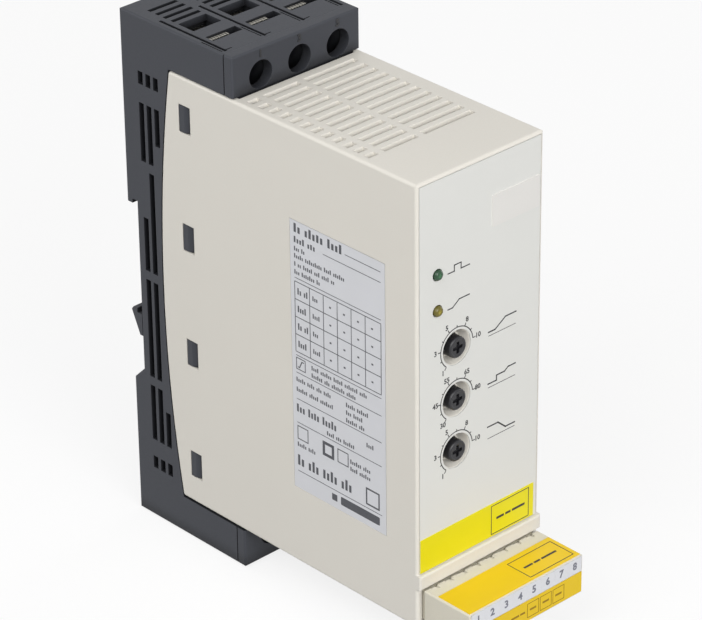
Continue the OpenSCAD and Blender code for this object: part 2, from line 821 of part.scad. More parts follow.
module front_cover() {
  color("#dcd9d0")
    difference() {
      union() {
        difference() {
          cover_outside();
          cover_inside();
        }
        for (z = dial_z)
          bar_y(dial_x, z, cup_d + 2 * cup_wall, panel_y + sheet_t, cup_y + cup_wall);
        for (x = [-board_boss[0], board_boss[0]], z = [board_boss[1], board_boss[2]])
          bar_y(x, z, board_screw_d + 3, panel_y + panel_wall - 1, control_y);
      }
      block([-sheet_x, panel_y - 0.05, sheet_z[0]], [sheet_x, panel_y + sheet_t, sheet_z[1]]);
      for (z = dial_z) {
        translate([dial_x, panel_y - 1, z])
          rotate([-90, 0, 0])
            cylinder(r1 = cup_d / 2 + cup_taper, r2 = cup_d / 2 - cup_taper * cup_depth,
              h = cup_depth + 1, $fn = 48);
        bar_y(dial_x, z, dial_d + 2 * fit_gap, panel_y - 1, cup_y + cup_wall + 1);
      }
      for (z = light_z)
        bar_y(light_x, z, light_d + 2 * fit_gap, panel_y - 1, panel_y + panel_wall + 1);
      for (x = [-board_boss[0], board_boss[0]], z = [board_boss[1], board_boss[2]])
        bar_y(x, z, board_screw_d + 0.1, control_y - 6, control_y + 1);
      block([-header_half_w - fit_gap, panel_y - 1, nose_z - header_half_h - fit_gap],
        [header_half_w + fit_gap, panel_y + panel_wall + 1, nose_z + header_half_h + fit_gap]);
      block([-half_w - 1, panel_y + side_label_gap, cover_top_z - side_label_drop - side_label_h],
        [-half_w + label_t, panel_y + side_label_gap + side_label_w, cover_top_z - side_label_drop]);
    }
}

module front_sheet() {
  color("#dfdfdb")
    difference() {
      block([-sheet_x + 0.1, panel_y, sheet_z[0] + 0.1],
        [sheet_x - 0.1, panel_y + sheet_t, sheet_z[1] - 0.1]);
      for (z = dial_z)
        bar_y(dial_x, z, cup_d, panel_y - 1, panel_y + sheet_t + 1);
      for (z = light_z)
        bar_y(light_x, z, light_d + 2 * fit_gap, panel_y - 1, panel_y + sheet_t + 1);
    }
}

module front_band() {
  color("#ebe00a")
    block([-sheet_x + 0.2, panel_y - label_t, sheet_z[0] + 0.3],
      [sheet_x - band_end, panel_y, sheet_z[0] + 0.3 + band_h]);
}

module marker_tag() {
  color("#e6e3dd")
    block([sheet_x - 0.6 - tag_w, panel_y - label_t, cover_top_z - tag_drop - tag_h],
      [sheet_x - 0.6, panel_y, cover_top_z - tag_drop]);
}

module side_label() {
  color("#c8c9cd")
    block([-half_w, panel_y + side_label_gap + 0.1, cover_top_z - side_label_drop - side_label_h + 0.1],
      [-half_w + label_t, panel_y + side_label_gap + side_label_w - 0.1,
        cover_top_z - side_label_drop - 0.1]);
}

// Cage clamp of one pole, open upwards for the conductor
module cage_clamp(x) {
  color("#b9b6ae")
    difference() {
      union() {
        block([x - cage_w / 2, cage_front_y, chamber_z + 0.05],
          [x + cage_w / 2, cage_rear_y, driver_z + 4.2]);
        block([x - cage_w / 2, cage_front_y, driver_z],
          [x - cage_w / 2 + cage_tab_w, cage_front_y + cage_t, top_z - 0.5]);
      }
      block([x - cage_w / 2 + cage_t, cage_front_y + cage_t, bottom_z],
        [x + cage_w / 2 - cage_t, cage_rear_y - cage_t, top_z]);
      bar_y(x + driver_shift, driver_z, term_screw_d + 0.1, cage_front_y - 1, cage_front_y + cage_t + 1);
    }
}

module line_clamp_1() {
  cage_clamp(pole_x[0]);
}

module line_clamp_2() {
  cage_clamp(pole_x[1]);
}

module line_clamp_3() {
  cage_clamp(pole_x[2]);
}

module load_clamp_1() {
  lower_end()
    cage_clamp(pole_x[0]);
}

module load_clamp_2() {
  lower_end()
    cage_clamp(pole_x[1]);
}

module load_clamp_3() {
  lower_end()
    cage_clamp(pole_x[2]);
}

// Terminal screws of one row
module line_screws() {
  head_y = cage_front_y - 1.6;
  color("#c2beb2")
    for (x = pole_x)
      difference() {
        union() {
          bar_y(x + driver_shift, driver_z, term_head_d, head_y - term_head_l, head_y);
          bar_y(x + driver_shift, driver_z, term_screw_d, head_y - 1, bus_y - 0.1);
        }
        for (a = [0, 90])
          translate([x + driver_shift, head_y - term_head_l, driver_z])
            rotate([0, a, 0])
              cube([term_head_d * 0.7, 2.4, 0.9], center = true);
      }
}

module load_screws() {
  lower_end()
    line_screws();
}

// Busbar from one terminal down to a stated height on the power board
module busbar(x, end_z) {
  color("#b87348") {
    block([x - bus_w / 2, bus_y, end_z], [x + bus_w / 2, power_y, tub_z - 0.3]);
    block([x - bus_tongue_w / 2, bus_y, tub_z - 1], [x + bus_tongue_w / 2, power_y, driver_z + 4.2]);
  }
}

module line_busbar_1() {
  busbar(pole_x[0], mid_z + relay_l / 2 + 3);
}

module line_busbar_3() {
  busbar(pole_x[2], mid_z + relay_l / 2 + 3);
}

module load_busbar_1() {
  lower_end()
    busbar(pole_x[0], mid_z + relay_l / 2 + 3);
}

module load_busbar_3() {
  lower_end()
    busbar(pole_x[2], mid_z + relay_l / 2 + 3);
}

module through_busbar() {
  both_ends()
    busbar(pole_x[1], mid_z - 1);
}

module power_board() {
  color("#2f6b45")
    difference() {
      block([-cavity_x + fit_gap, power_y, 2 * mid_z - tub_z + fit_gap],
        [cavity_x - fit_gap, -power_gap, tub_z - fit_gap]);
      for (x = [-spacer_x, spacer_x], z = spacer_z)
        bar_y(x, z, sink_screw_d + 0.2, power_y - 1, -power_gap + 1);
    }
}

// Bypass relay on the power board, on the side that is named by its sign
module bypass_relay(side) {
  x = side * (cavity_x - fit_gap - relay_w / 2);
  color("#d9892f")
    block([x - relay_w / 2, power_y - relay_h, mid_z - relay_l / 2],
      [x + relay_w / 2, power_y, mid_z + relay_l / 2]);
}

module bypass_relay_1() {
  bypass_relay(-1);
}

module bypass_relay_3() {
  bypass_relay(1);
}

// Thyristor module on the heat sink's rear, with three leads to the power board
module thyristor(side) {
  x = side * (spacer_x + thyristor_w / 2 - 4.6);
  foot_z = thyristor_z - thyristor_l / 2;
  color("#2c2c30") {
    block([x - thyristor_w / 2, sink_y, foot_z],
      [x + thyristor_w / 2, sink_y + thyristor_t, foot_z + thyristor_l]);
    for (i = [-1 : 1]) {
      lead_x = side * (spacer_x + i * 1.8);
      block([lead_x - 0.4, sink_y + 2, foot_z - 3], [lead_x + 0.4, sink_y + 2.8, foot_z + 0.5]);
      block([lead_x - 0.4, sink_y + 2, foot_z - 3], [lead_x + 0.4, power_y, foot_z - 2.2]);
    }
  }
}

module thyristor_1() {
  thyristor(-1);
}

module thyristor_3() {
  thyristor(1);
}

module heat_sink() {
  half = 4 * fin_pitch + 1.4;
  color("#a9acb0")
    difference() {
      union() {
        block([-half, sink_y - sink_t, sink_bottom_z], [half, sink_y, sink_top_z]);
        for (i = [-4, -3, -1, 0, 1, 3, 4])
          block([i * fin_pitch - fin_t / 2, sink_y - sink_d, sink_bottom_z],
            [i * fin_pitch + fin_t / 2, sink_y - sink_t + 1, sink_top_z]);
      }
      for (x = [-spacer_x, spacer_x], z = spacer_z)
        bar_y(x, z, sink_screw_d + 0.2, sink_y - sink_t - 1, sink_y + 1);
    }
}

// Spacers between the power board and the heat sink, each with a stud in the base's boss
module heat_sink_spacers() {
  color("#c8c2a8")
    for (x = [-spacer_x, spacer_x], z = spacer_z)
      difference() {
        union() {
          bar_y(x, z, spacer_d, sink_y, power_y);
          bar_y(x, z, sink_screw_d, power_y - 1, -power_gap + 6);
        }
        bar_y(x, z, sink_screw_d + 0.1, sink_y - 1, sink_y + 8);
      }
}

module heat_sink_screws() {
  color("#c2beb2")
    for (x = [-spacer_x, spacer_x], z = spacer_z) {
      bar_y(x, z, spacer_d - 0.4, sink_y - sink_t - 2, sink_y - sink_t);
      bar_y(x, z, sink_screw_d, sink_y - sink_t - 1, sink_y + 6);
    }
}

module control_board() {
  color("#2f6b45")
    difference() {
      block([-control_half_w, control_y, nose_z - header_half_h],
        [control_half_w, control_y + pcb_t, control_top_z]);
      for (x = [-board_boss[0], board_boss[0]], z = [board_boss[1], board_boss[2]])
        bar_y(x, z, board_screw_d + 0.2, control_y - 1, control_y + pcb_t + 1);
      for (x = control_x)
        block([x - pin_w / 2 - 0.1, control_y - 1, nose_z - pin_w / 2 - 0.1],
          [x + pin_w / 2 + 0.1, control_y + pcb_t + 1, nose_z + pin_w / 2 + 0.1]);
    }
}

module control_board_screws() {
  color("#c2beb2")
    for (x = [-board_boss[0], board_boss[0]], z = [board_boss[1], board_boss[2]]) {
      bar_y(x, z, board_screw_d + 1.8, control_y + pcb_t, control_y + pcb_t + 1.4);
      bar_y(x, z, board_screw_d, control_y - 5, control_y + pcb_t + 1);
    }
}

module supply_transformer() {
  color("#c9a24a")
    block([-transformer_w, control_y + pcb_t, mid_z - transformer_h * 2 / 3],
      [0, control_y + pcb_t + behind_h, mid_z + transformer_h / 3]);
}

// Capacitor lying behind the control board
module capacitor(z) {
  color("#33436b")
    translate([control_half_w / 2 - 0.3, control_y + pcb_t + behind_h / 2, z - cap_l / 2])
      cylinder(d = behind_h, h = cap_l, $fn = 48);
}

module capacitor_1() {
  capacitor(mid_z + cap_pitch * 0.8);
}

module capacitor_2() {
  capacitor(mid_z - cap_pitch * 0.2);
}

// Flat cable between both boards, below the heat sink
module link_cable() {
  color("#8a8c90")
    block([link_x - link_w / 2, control_y + pcb_t + 0.6, link_z - link_t / 2],
      [link_x + link_w / 2, power_y - 0.6, link_z + link_t / 2]);
}

// Socket of the link cable from its board's face to its mouth
module link_socket(y0, y1, floor_y0, floor_y1) {
  color("#e8e4d8")
    difference() {
      block([link_x - link_w / 2 - 0.6, y0, link_z - link_t / 2 - 1.4],
        [link_x + link_w / 2 + 0.6, y1, link_z + link_t / 2 + 1.4]);
      block([link_x - link_w / 2 - 0.1, floor_y0, link_z - link_t / 2 - 0.1],
        [link_x + link_w / 2 + 0.1, floor_y1, link_z + link_t / 2 + 0.1]);
    }
}

module power_link_socket() {
  link_socket(power_y - 5, power_y, power_y - 6, power_y - 0.5);
}

module control_link_socket() {
  y = control_y + pcb_t;
  link_socket(y, y + 5, y + 0.5, y + 6);
}

// Trimmer behind one dial
module trimmer(z) {
  color("#3f6fae")
    difference() {
      block([dial_x - trimmer_w / 2, trimmer_y, z - trimmer_w / 2],
        [dial_x + trimmer_w / 2, control_y, z + trimmer_w / 2]);
      bar_y(dial_x, z, stem_d + 2 * stem_play, trimmer_y - 1, trimmer_y + 3.6);
    }
}

module start_trimmer() {
  trimmer(dial_z[0]);
}

module voltage_trimmer() {
  trimmer(dial_z[1]);
}

module stop_trimmer() {
  trimmer(dial_z[2]);
}

// Dial with a driver cross, turning on its stem
module dial(z) {
  face_y = panel_y - dial_proud;
  color("#2d2d32")
    difference() {
      union() {
        bar_y(dial_x, z, dial_d, face_y, trimmer_y - fit_gap);
        bar_y(dial_x, z, stem_d, trimmer_y - 1, trimmer_y + 3.2);
      }
      for (s = [[cross_l, cross_w], [cross_w, cross_l]])
        block([dial_x - s[0] / 2, face_y - 1, z - s[1] / 2],
          [dial_x + s[0] / 2, face_y + 1, z + s[1] / 2]);
    }
}

module start_dial() {
  dial(dial_z[0]);
}

module voltage_dial() {
  dial(dial_z[1]);
}

module stop_dial() {
  dial(dial_z[2]);
}

// Light guide from the control board to a dome in the panel
module light(z) {
  intersection() {
    bar_y(light_x, z, light_d, panel_y - 2, control_y);
    translate([light_x, panel_y + light_d, z])
      union() {
        sphere(r = light_d + light_proud, $fn = 64);
        translate([-light_d, 0, -light_d])
          cube([2 * light_d, control_gap, 2 * light_d]);
      }
  }
}

module power_light() {
  color("#466e50")
    light(light_z[0]);
}

module run_light() {
  color("#8c823c")
    light(light_z[1]);
}

// Open box around the plug's nose, on the control board
module control_header() {
  color("#cfcbbd")
    difference() {
      block([-header_half_w, header_front_y, nose_z - header_half_h],
        [header_half_w, control_y, nose_z + header_half_h]);
      block([-nose_w / 2 - fit_gap, header_front_y - 1, nose_z - nose_h / 2 - fit_gap],
        [nose_w / 2 + fit_gap, nose_end_y + fit_gap, nose_z + nose_h / 2 + fit_gap]);
      for (x = control_x)
        block([x - pin_w / 2 - 0.1, header_front_y, nose_z - pin_w / 2 - 0.1],
          [x + pin_w / 2 + 0.1, control_y + 1, nose_z + pin_w / 2 + 0.1]);
    }
}

module header_pins() {
  color("#c9b66b")
    for (x = control_x)
      block([x - pin_w / 2, panel_y + 0.6, nose_z - pin_w / 2],
        [x + pin_w / 2, control_y + pcb_t + 1, nose_z + pin_w / 2]);
}

module control_plug() {
  contact_half = contact_w / 2 + 0.1;
  color("#ddd9c8")
    difference() {
      union() {
        soft_block([-plug_w / 2, plug_front_y, cover_bottom_z],
          [plug_w / 2, plug_rear_y, plug_top_z], plug_edge);
        block([-nose_w / 2, plug_rear_y - 2, nose_z - nose_h / 2],
          [nose_w / 2, nose_end_y, nose_z + nose_h / 2]);
      }
      for (x = control_x) {
        block([x - notch_w / 2, plug_rear_y - notch_l, plug_top_z - 0.7],
          [x + notch_w / 2, plug_rear_y + 1, plug_top_z + 1]);
        block([x + 0.1, plug_rear_y - tick_l, plug_top_z - 0.5],
          [x + 0.1 + tick_w, plug_rear_y + 1, plug_top_z + 1]);
        block([x - pin_w / 2 - 0.2, contact_y - 1, nose_z - pin_w / 2 - 0.2],
          [x + pin_w / 2 + 0.2, nose_end_y + 1, nose_z + pin_w / 2 + 0.2]);
        block([x - contact_half, entry_y + entry_w, nose_z - contact_half],
          [x + contact_half, contact_y, nose_z + contact_half]);
        block([x - entry_w / 2, entry_y, cover_bottom_z - 1],
          [x + entry_w / 2, entry_y + entry_w, plug_top_z - 1.4]);
        block([x - 1.2, entry_y - 2.6, cover_bottom_z - 1], [x + 1.2, entry_y - 1, cover_bottom_z + 5]);
      }
    }
}

module plug_contacts() {
  color("#c9b66b")
    for (x = control_x)
      difference() {
        block([x - contact_w / 2, entry_y + entry_w - 0.4, nose_z - contact_w / 2],
          [x + contact_w / 2, contact_y - 0.1, nose_z + contact_w / 2]);
        block([x - pin_w / 2 - 0.15, panel_y - 0.4, nose_z - pin_w / 2 - 0.15],
          [x + pin_w / 2 + 0.15, contact_y + 1, nose_z + pin_w / 2 + 0.15]);
      }
}

// Leaf springs that press the conductors onto the contacts
module plug_springs() {
  top = plug_top_z - 1.4 - 0.1;
  color("#b8b8b4")
    for (x = control_x)
      translate([x, 0, 0])
        across(entry_w - 0.6)
          polygon([
            [entry_y + 0.1, cover_bottom_z + entry_depth],
            [entry_y + 0.5, cover_bottom_z + entry_depth],
            [entry_y + 0.5, top - 0.4],
            [entry_y + 2.6, top - 0.4],
            [entry_y + 1.6, cover_bottom_z + entry_depth + 0.4],
            [entry_y + 2, cover_bottom_z + entry_depth + 0.3],
            [entry_y + 3.1, top],
            [entry_y + 0.1, top]
          ]);
}

module plug_top_label() {
  color("#f0cc10")
    block([-plug_w / 2 + label_margin, plug_front_y + label_margin, plug_top_z],
      [plug_w / 2 - label_margin, plug_front_y + label_margin + top_label_l, plug_top_z + label_t]);
}

module plug_front_label() {
  color("#f0cc10")
    block([-plug_w / 2 + label_margin, plug_front_y - label_t, cover_bottom_z + label_margin],
      [plug_w / 2 - label_margin, plug_front_y, cover_bottom_z + label_margin + front_label_h]);
}

base_housing();
line_shroud();
load_shroud();
din_clip();
din_clip_spring();
front_cover();
front_sheet();
front_band();
marker_tag();
side_label();
line_clamp_1();
line_clamp_2();
line_clamp_3();
load_clamp_1();
load_clamp_2();
load_clamp_3();
line_screws();
load_screws();
line_busbar_1();
line_busbar_3();
load_busbar_1();
load_busbar_3();
through_busbar();
power_board();
bypass_relay_1();
bypass_relay_3();
thyristor_1();
thyristor_3();
heat_sink();
heat_sink_spacers();
heat_sink_screws();
control_board();
control_board_screws();
supply_transformer();
capacitor_1();
capacitor_2();
link_cable();
power_link_socket();
control_link_socket();
start_trimmer();
voltage_trimmer();
stop_trimmer();
start_dial();
voltage_dial();
stop_dial();
power_light();
run_light();
control_header();
header_pins();
control_plug();
plug_contacts();
plug_springs();
plug_top_label();
plug_front_label();
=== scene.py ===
import json
import math

import bmesh
import bpy
from bpy.props import FloatProperty, FloatVectorProperty, PointerProperty
from mathutils import Euler, Matrix, Vector


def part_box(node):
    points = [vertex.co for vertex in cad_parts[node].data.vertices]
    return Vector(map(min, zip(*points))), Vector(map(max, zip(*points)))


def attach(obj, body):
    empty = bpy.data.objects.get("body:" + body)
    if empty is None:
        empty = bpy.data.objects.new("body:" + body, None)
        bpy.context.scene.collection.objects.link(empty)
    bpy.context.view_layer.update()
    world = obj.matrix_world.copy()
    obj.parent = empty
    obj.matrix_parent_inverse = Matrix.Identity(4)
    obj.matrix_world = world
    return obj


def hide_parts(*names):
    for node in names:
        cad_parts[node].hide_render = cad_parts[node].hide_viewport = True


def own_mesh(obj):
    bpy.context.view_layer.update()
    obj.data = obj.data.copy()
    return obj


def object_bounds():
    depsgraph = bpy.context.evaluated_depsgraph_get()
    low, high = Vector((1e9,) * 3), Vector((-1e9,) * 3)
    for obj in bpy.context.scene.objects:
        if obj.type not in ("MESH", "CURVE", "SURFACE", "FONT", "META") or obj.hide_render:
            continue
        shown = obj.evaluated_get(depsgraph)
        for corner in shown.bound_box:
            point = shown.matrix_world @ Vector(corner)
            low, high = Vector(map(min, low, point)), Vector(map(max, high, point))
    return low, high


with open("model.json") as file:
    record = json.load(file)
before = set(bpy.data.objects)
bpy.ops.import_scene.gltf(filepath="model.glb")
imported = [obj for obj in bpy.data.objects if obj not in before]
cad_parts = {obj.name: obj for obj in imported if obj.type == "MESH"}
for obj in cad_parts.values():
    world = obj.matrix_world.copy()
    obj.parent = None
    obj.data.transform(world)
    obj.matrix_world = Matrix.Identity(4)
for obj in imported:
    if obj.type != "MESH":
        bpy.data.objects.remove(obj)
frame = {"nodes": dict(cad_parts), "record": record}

CAD_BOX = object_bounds()

bl_info = {
    "name": "Soft starter",
    "version": (1, 0, 0),
    "blender": (4, 5, 0),
    "location": "3D View > Sidebar > Soft starter",
    "description": "Dresses the soft starter's solids and sets its studio",
    "category": "Object",
}

MM = 0.001
QUARTER = math.pi / 2
# Turns that lay a flat stroke on the front, on the left side and on an upper face
FRONT = (QUARTER, 0.0, 0.0)
LEFT = (QUARTER, 0.0, -QUARTER)
UPPER = (0.0, 0.0, 0.0)
# Ways across and up a label
RIGHTWARDS = (1.0, 0.0, 0.0)
FORWARDS = (0.0, -1.0, 0.0)
REARWARDS = (0.0, 1.0, 0.0)
UPWARDS = (0.0, 0.0, 1.0)
# Plastics: patches of tint, patches of rubbing, rounding of edges and reach of the painted shade in recesses
TINT_PATCH = 16 * MM
RUB_PATCH = 5 * MM
EDGE_ROUND = 0.3 * MM
PAINTED_SHADE_REACH = 7 * MM
# Films: stipple and waviness
STIPPLE = 0.5 * MM
FILM_WAVE = 9 * MM
# Metals: width of drawn lines, patches of plating, rounding of edges and spacing of the clamps' ribs
DRAWN_LINE = 2.4 * MM
PLATING_PATCH = 3 * MM
METAL_ROUND = 0.15 * MM
RIB_PITCH = 0.95 * MM
# Lenses: radius of the painted highlight in the middle and reach of the painted shade towards the rim
LENS_HIGHLIGHT = 0.7 * MM
LENS_RIM_SHADE = 1.5 * MM
# Boards: spacing of the tracks
TRACK_PITCH = 9 * MM
# Length of one band of a wave texture at scale 1
WAVE_UNIT = 0.314
WHITE = (1.0, 1.0, 1.0)
# Figures: height against the size of the text, and thickening of the strokes against the height
FIGURE_SHARE = 0.72
FIGURE_BOLD = 0.04
# Printed strokes: rounding of their corners against their sides
STROKE_CORNER = 0.06


def linear(red, green, blue):
    """A colour given as screen values from 0 to 255, as scene values."""
    parts = (v / 255.0 for v in (red, green, blue))
    return tuple(v / 12.92 if v <= 0.04045 else ((v + 0.055) / 1.055) ** 2.4 for v in parts)


def shade(colour, factor):
    """The colour made darker or lighter by a factor, kept below white."""
    return tuple(min(1.0, c * factor) for c in colour)


def colour_value(title, words, red, green, blue):
    return FloatVectorProperty(name=title, description=words, default=linear(red, green, blue),
                               subtype="COLOR", size=3, min=0.0, max=1.0)


def length_value(title, words, millimetres):
    return FloatProperty(name=title, description=words, default=millimetres * MM, unit="LENGTH",
                         min=0.0, precision=5)


class StarterColours(bpy.types.PropertyGroup):
    """Colours of the starter's finishes"""

    base: colour_value("Base", "Dark plastic of the base and its shrouds", 63, 65, 71)
    cover: colour_value("Cover", "Cream plastic of the front cover", 224, 220, 211)
    sheet: colour_value("Front sheet", "Printed sheet on the front", 223, 223, 219)
    band: colour_value("Front band", "Lemon yellow of the band on the front", 230, 219, 8)
    plug_label: colour_value("Plug labels", "Golden yellow of the plug's labels", 232, 196, 6)
    plug: colour_value("Control plug", "Beige plastic of the control plug", 217, 212, 196)
    rating: colour_value("Rating label", "Cool grey of the side label", 215, 216, 220)
    strip: colour_value("Marker strip", "Pale strip on the plug's front", 226, 227, 231)
    ink: colour_value("Ink", "Dark ink of the prints", 44, 44, 46)
    label_ink: colour_value("Label ink", "Ink of the side label", 74, 75, 80)
    grey_ink: colour_value("Grey ink", "Ink of the figures on the plug", 112, 114, 124)
    brown_ink: colour_value("Brown ink", "Ink of the fine lines on the plug's front", 140, 108, 12)
    dial: colour_value("Dials", "Dark plastic of the dials", 28, 28, 32)
    tag: colour_value("Marker tag", "Blank tag on the front sheet", 226, 224, 220)
    green: colour_value("Green lens", "Upper indicator light", 46, 84, 56)
    yellow: colour_value("Yellow lens", "Lower indicator light", 118, 108, 36)
    steel: colour_value("Steel", "Zinc plated steel of the screws and springs", 166, 163, 155)
    clamp: colour_value("Clamps", "Steel of the cage clamps", 172, 169, 160)
    floor: colour_value("Floor", "Plain floor under the starter", 250, 250, 250)


class StarterSizes(bpy.types.PropertyGroup):
    """Sizes of the printed marks and small mouldings"""

    ink_depth: length_value("Ink depth", "Height of a print over its label", 0.02)
    scale_radius: length_value("Scale radius", "Radius of the line round a dial", 5.9)
    scale_line: length_value("Scale line", "Width of the line round a dial", 0.28)
    figure: length_value("Figure height", "Height of the figures round a dial", 1.45)
    plug_figure: length_value("Plug figure height", "Height of the figures on the plug", 2.2)
    pole_figure: length_value("Pole figure height", "Height of the moulded pole figures", 2.1)
    mould_depth: length_value("Mould depth", "Height of the moulded figures", 0.18)


def power_value(title, words, watts):
    return FloatProperty(name=title, description=words, default=watts, unit="POWER", min=0.0)


class StarterStage(bpy.types.PropertyGroup):
    """Light levels of the studio"""

    key: power_value("Key light", "Power of the large light in front", 18.6)
    top: power_value("Top light", "Power of the light above the left side", 11.4)
    right: power_value("Right light", "Power of the low light at the right side", 7.0)
    rear: power_value("Rear light", "Power of the low light behind the rear", 6.0)
    world: FloatProperty(name="World", description="Strength of the even light all round", default=0.25,
                         min=0.0)


class Term:
    """A shader socket that can stand in a Python sum"""

    def __init__(self, nodes, socket):
        self.nodes = nodes
        self.socket = socket

    def maths(self, operation, first, second, clamp=False):
        settings = {"operation": operation, "use_clamp": clamp}
        return self.nodes.add("ShaderNodeMath", settings, {0: first, 1: second})

    def __add__(self, other):
        return self.maths("ADD", self, other)

    def __radd__(self, other):
        return self.maths("ADD", other, self)

    def __sub__(self, other):
        return self.maths("SUBTRACT", self, other)

    def __rsub__(self, other):
        return self.maths("SUBTRACT", other, self)

    def __mul__(self, other):
        return self.maths("MULTIPLY", self, other)

    def __rmul__(self, other):
        return self.maths("MULTIPLY", other, self)

    def held(self):
        """The value kept between nought and one."""
        return self.maths("ADD", self, 0.0, clamp=True)


class Nodes:
    """A node tree that grows by one call for each node"""

    def __init__(self, tree):
        self.tree = tree

    def add(self, kind, settings, inputs, output=0):
        """A new node with its settings and inputs; gives one of its outputs."""
        node = self.tree.nodes.new(kind)
        for name, value in settings.items():
            setattr(node, name, value)
        for name, value in inputs.items():
            self.feed(node.inputs[name], value)
        return Term(self, node.outputs[output])

    def feed(self, socket, value):
        """Give a socket a link, a colour or a number."""
        if isinstance(value, Term):
            self.tree.links.new(value.socket, socket)
        elif hasattr(value, "__len__") and socket.type == "RGBA":
            socket.default_value = (*value, 1.0)
        else:
            socket.default_value = value


class Finish(Nodes):
    """A material built from nodes"""

    def __init__(self, name, constants):
        self.material = bpy.data.materials.new(f"{name}_finish")
        self.material.use_nodes = True
        super().__init__(self.material.node_tree)
        self.shader = self.tree.nodes["Principled BSDF"]
        for socket, value in constants.items():
            self.set(socket, value)

    def set(self, name, value):
        self.feed(self.shader.inputs[name], value)

    def place(self, stretch=(1.0, 1.0, 1.0), centre=(0.0, 0.0, 0.0)):
        """The place on the piece, stretched about a centre."""
        spot = self.add("ShaderNodeTexCoord", {}, {}, "Object")
        offset = tuple(-c * s for c, s in zip(centre, stretch))
        return self.add("ShaderNodeMapping", {}, {"Vector": spot, "Scale": stretch, "Location": offset})

    def noise(self, spot, size, detail=2.0, roughness=0.5):
        """Cloudy values from nought to one, with patches of about the given size."""
        inputs = {"Vector": spot, "Scale": 1.0 / size, "Detail": detail, "Roughness": roughness}
        return self.add("ShaderNodeTexNoise", {}, inputs)

    def bands(self, spot, pitch, way, wander=0.0):
        """Even bands across one way, which may wander a little."""
        settings = {"wave_type": "BANDS", "bands_direction": way, "wave_profile": "SIN"}
        inputs = {"Vector": spot, "Scale": WAVE_UNIT / pitch, "Distortion": wander, "Detail": 1.0}
        return self.add("ShaderNodeTexWave", settings, inputs, "Fac")

    def mix(self, share, first, second):
        """A blend of two colours."""
        settings = {"data_type": "RGBA", "clamp_factor": True}
        return self.add("ShaderNodeMix", settings, {0: share, 6: first, 7: second}, 2)

    def soft_edge(self, radius):
        """The normal with the piece's edges rounded off."""
        return self.add("ShaderNodeBevel", {"samples": 4}, {"Radius": radius})

    def edge_share(self, rounded):
        """How much a spot lies on a sharp edge."""
        flat = self.add("ShaderNodeNewGeometry", {}, {}, "Normal")
        dot = self.add("ShaderNodeVectorMath", {"operation": "DOT_PRODUCT"}, {0: rounded, 1: flat}, "Value")
        return ((1.0 - dot) * 5.0).held()

    def bump(self, height, depth, strength, normal=None):
        inputs = {"Height": height, "Distance": depth, "Strength": strength}
        if normal is not None:
            inputs["Normal"] = normal
        self.set("Normal", self.add("ShaderNodeBump", {}, inputs))


def moulded(name, colour, grain=0.35, roughness=0.5, depth=0.012, wear=0.35, tint=0.05, shine=0.5,
            dark=1.0):
    """Moulded plastic: fine grain, cloudy tint, edges rubbed a little lighter and painted shade darkening the
    recesses.

    Grain and depth are in millimetres; dark is the share of its colour that the painted shade leaves in a
    deep recess.
    """
    finish = Finish(name, {"IOR": 1.5, "Specular IOR Level": shine})
    spot = finish.place()
    fine = finish.noise(spot, grain * MM, roughness=0.6)
    cloud = finish.noise(spot, TINT_PATCH, detail=3.0)
    rounded = finish.soft_edge(EDGE_ROUND)
    rub = finish.edge_share(rounded) * finish.noise(spot, RUB_PATCH, detail=3.0) * wear
    body = finish.mix(cloud, shade(colour, 1.0 - tint), shade(colour, 1.0 + tint))
    body = finish.mix((fine - 0.5) * 0.35 + 0.1, body, shade(colour, 0.8))
    body = finish.mix(rub, body, shade(colour, 1.6))
    if dark < 1.0:
        # Painted shade from ambient occlusion: darkest where half of the view is blocked, plain where nearly
        # nine tenths are open
        clear = finish.add("ShaderNodeAmbientOcclusion", {"samples": 8}, {"Distance": PAINTED_SHADE_REACH}, "AO")
        body = finish.mix((clear * 2.7 - 1.4).held(), shade(colour, dark), body)
    finish.set("Base Color", body)
    finish.set("Roughness", roughness + (fine - 0.5) * 0.16 + (cloud - 0.5) * 0.1 - rub * 0.2)
    finish.bump(fine, depth * MM, strength=0.8, normal=rounded)
    return finish.material


def film(name, colour, roughness=0.42, tint=0.03):
    """Printed film: faint stipple and a slow waviness from the adhesive below."""
    finish = Finish(name, {"IOR": 1.46})
    spot = finish.place()
    stipple = finish.noise(spot, STIPPLE, detail=1.0)
    wave = finish.noise(spot, FILM_WAVE)
    finish.set("Base Color", finish.mix(wave, shade(colour, 1.0 - tint), shade(colour, 1.0 + tint)))
    finish.set("Roughness", roughness + (stipple - 0.5) * 0.12 + (wave - 0.5) * 0.1)
    finish.bump(stipple * 0.3 + wave, 0.02 * MM, strength=0.6)
    return finish.material


def metal(name, colour, roughness, draw=(1.0, 1.0, 14.0)):
    """Rolled metal: drawn lines along one way, and a cloudy plating."""
    finish = Finish(name, {"Metallic": 1.0})
    lines = finish.noise(finish.place(draw), DRAWN_LINE, detail=3.0, roughness=0.65)
    cloud = finish.noise(finish.place(), PLATING_PATCH, detail=4.0, roughness=0.6)
    body = finish.mix(cloud, shade(colour, 0.88), shade(colour, 1.048))
    finish.set("Base Color", finish.mix(lines * 0.25, body, shade(colour, 0.75)))
    finish.set("Roughness", roughness + (lines - 0.5) * 0.18 + (cloud - 0.5) * 0.14)
    finish.bump(lines, 0.006 * MM, strength=0.6, normal=finish.soft_edge(METAL_ROUND))
    return finish.material


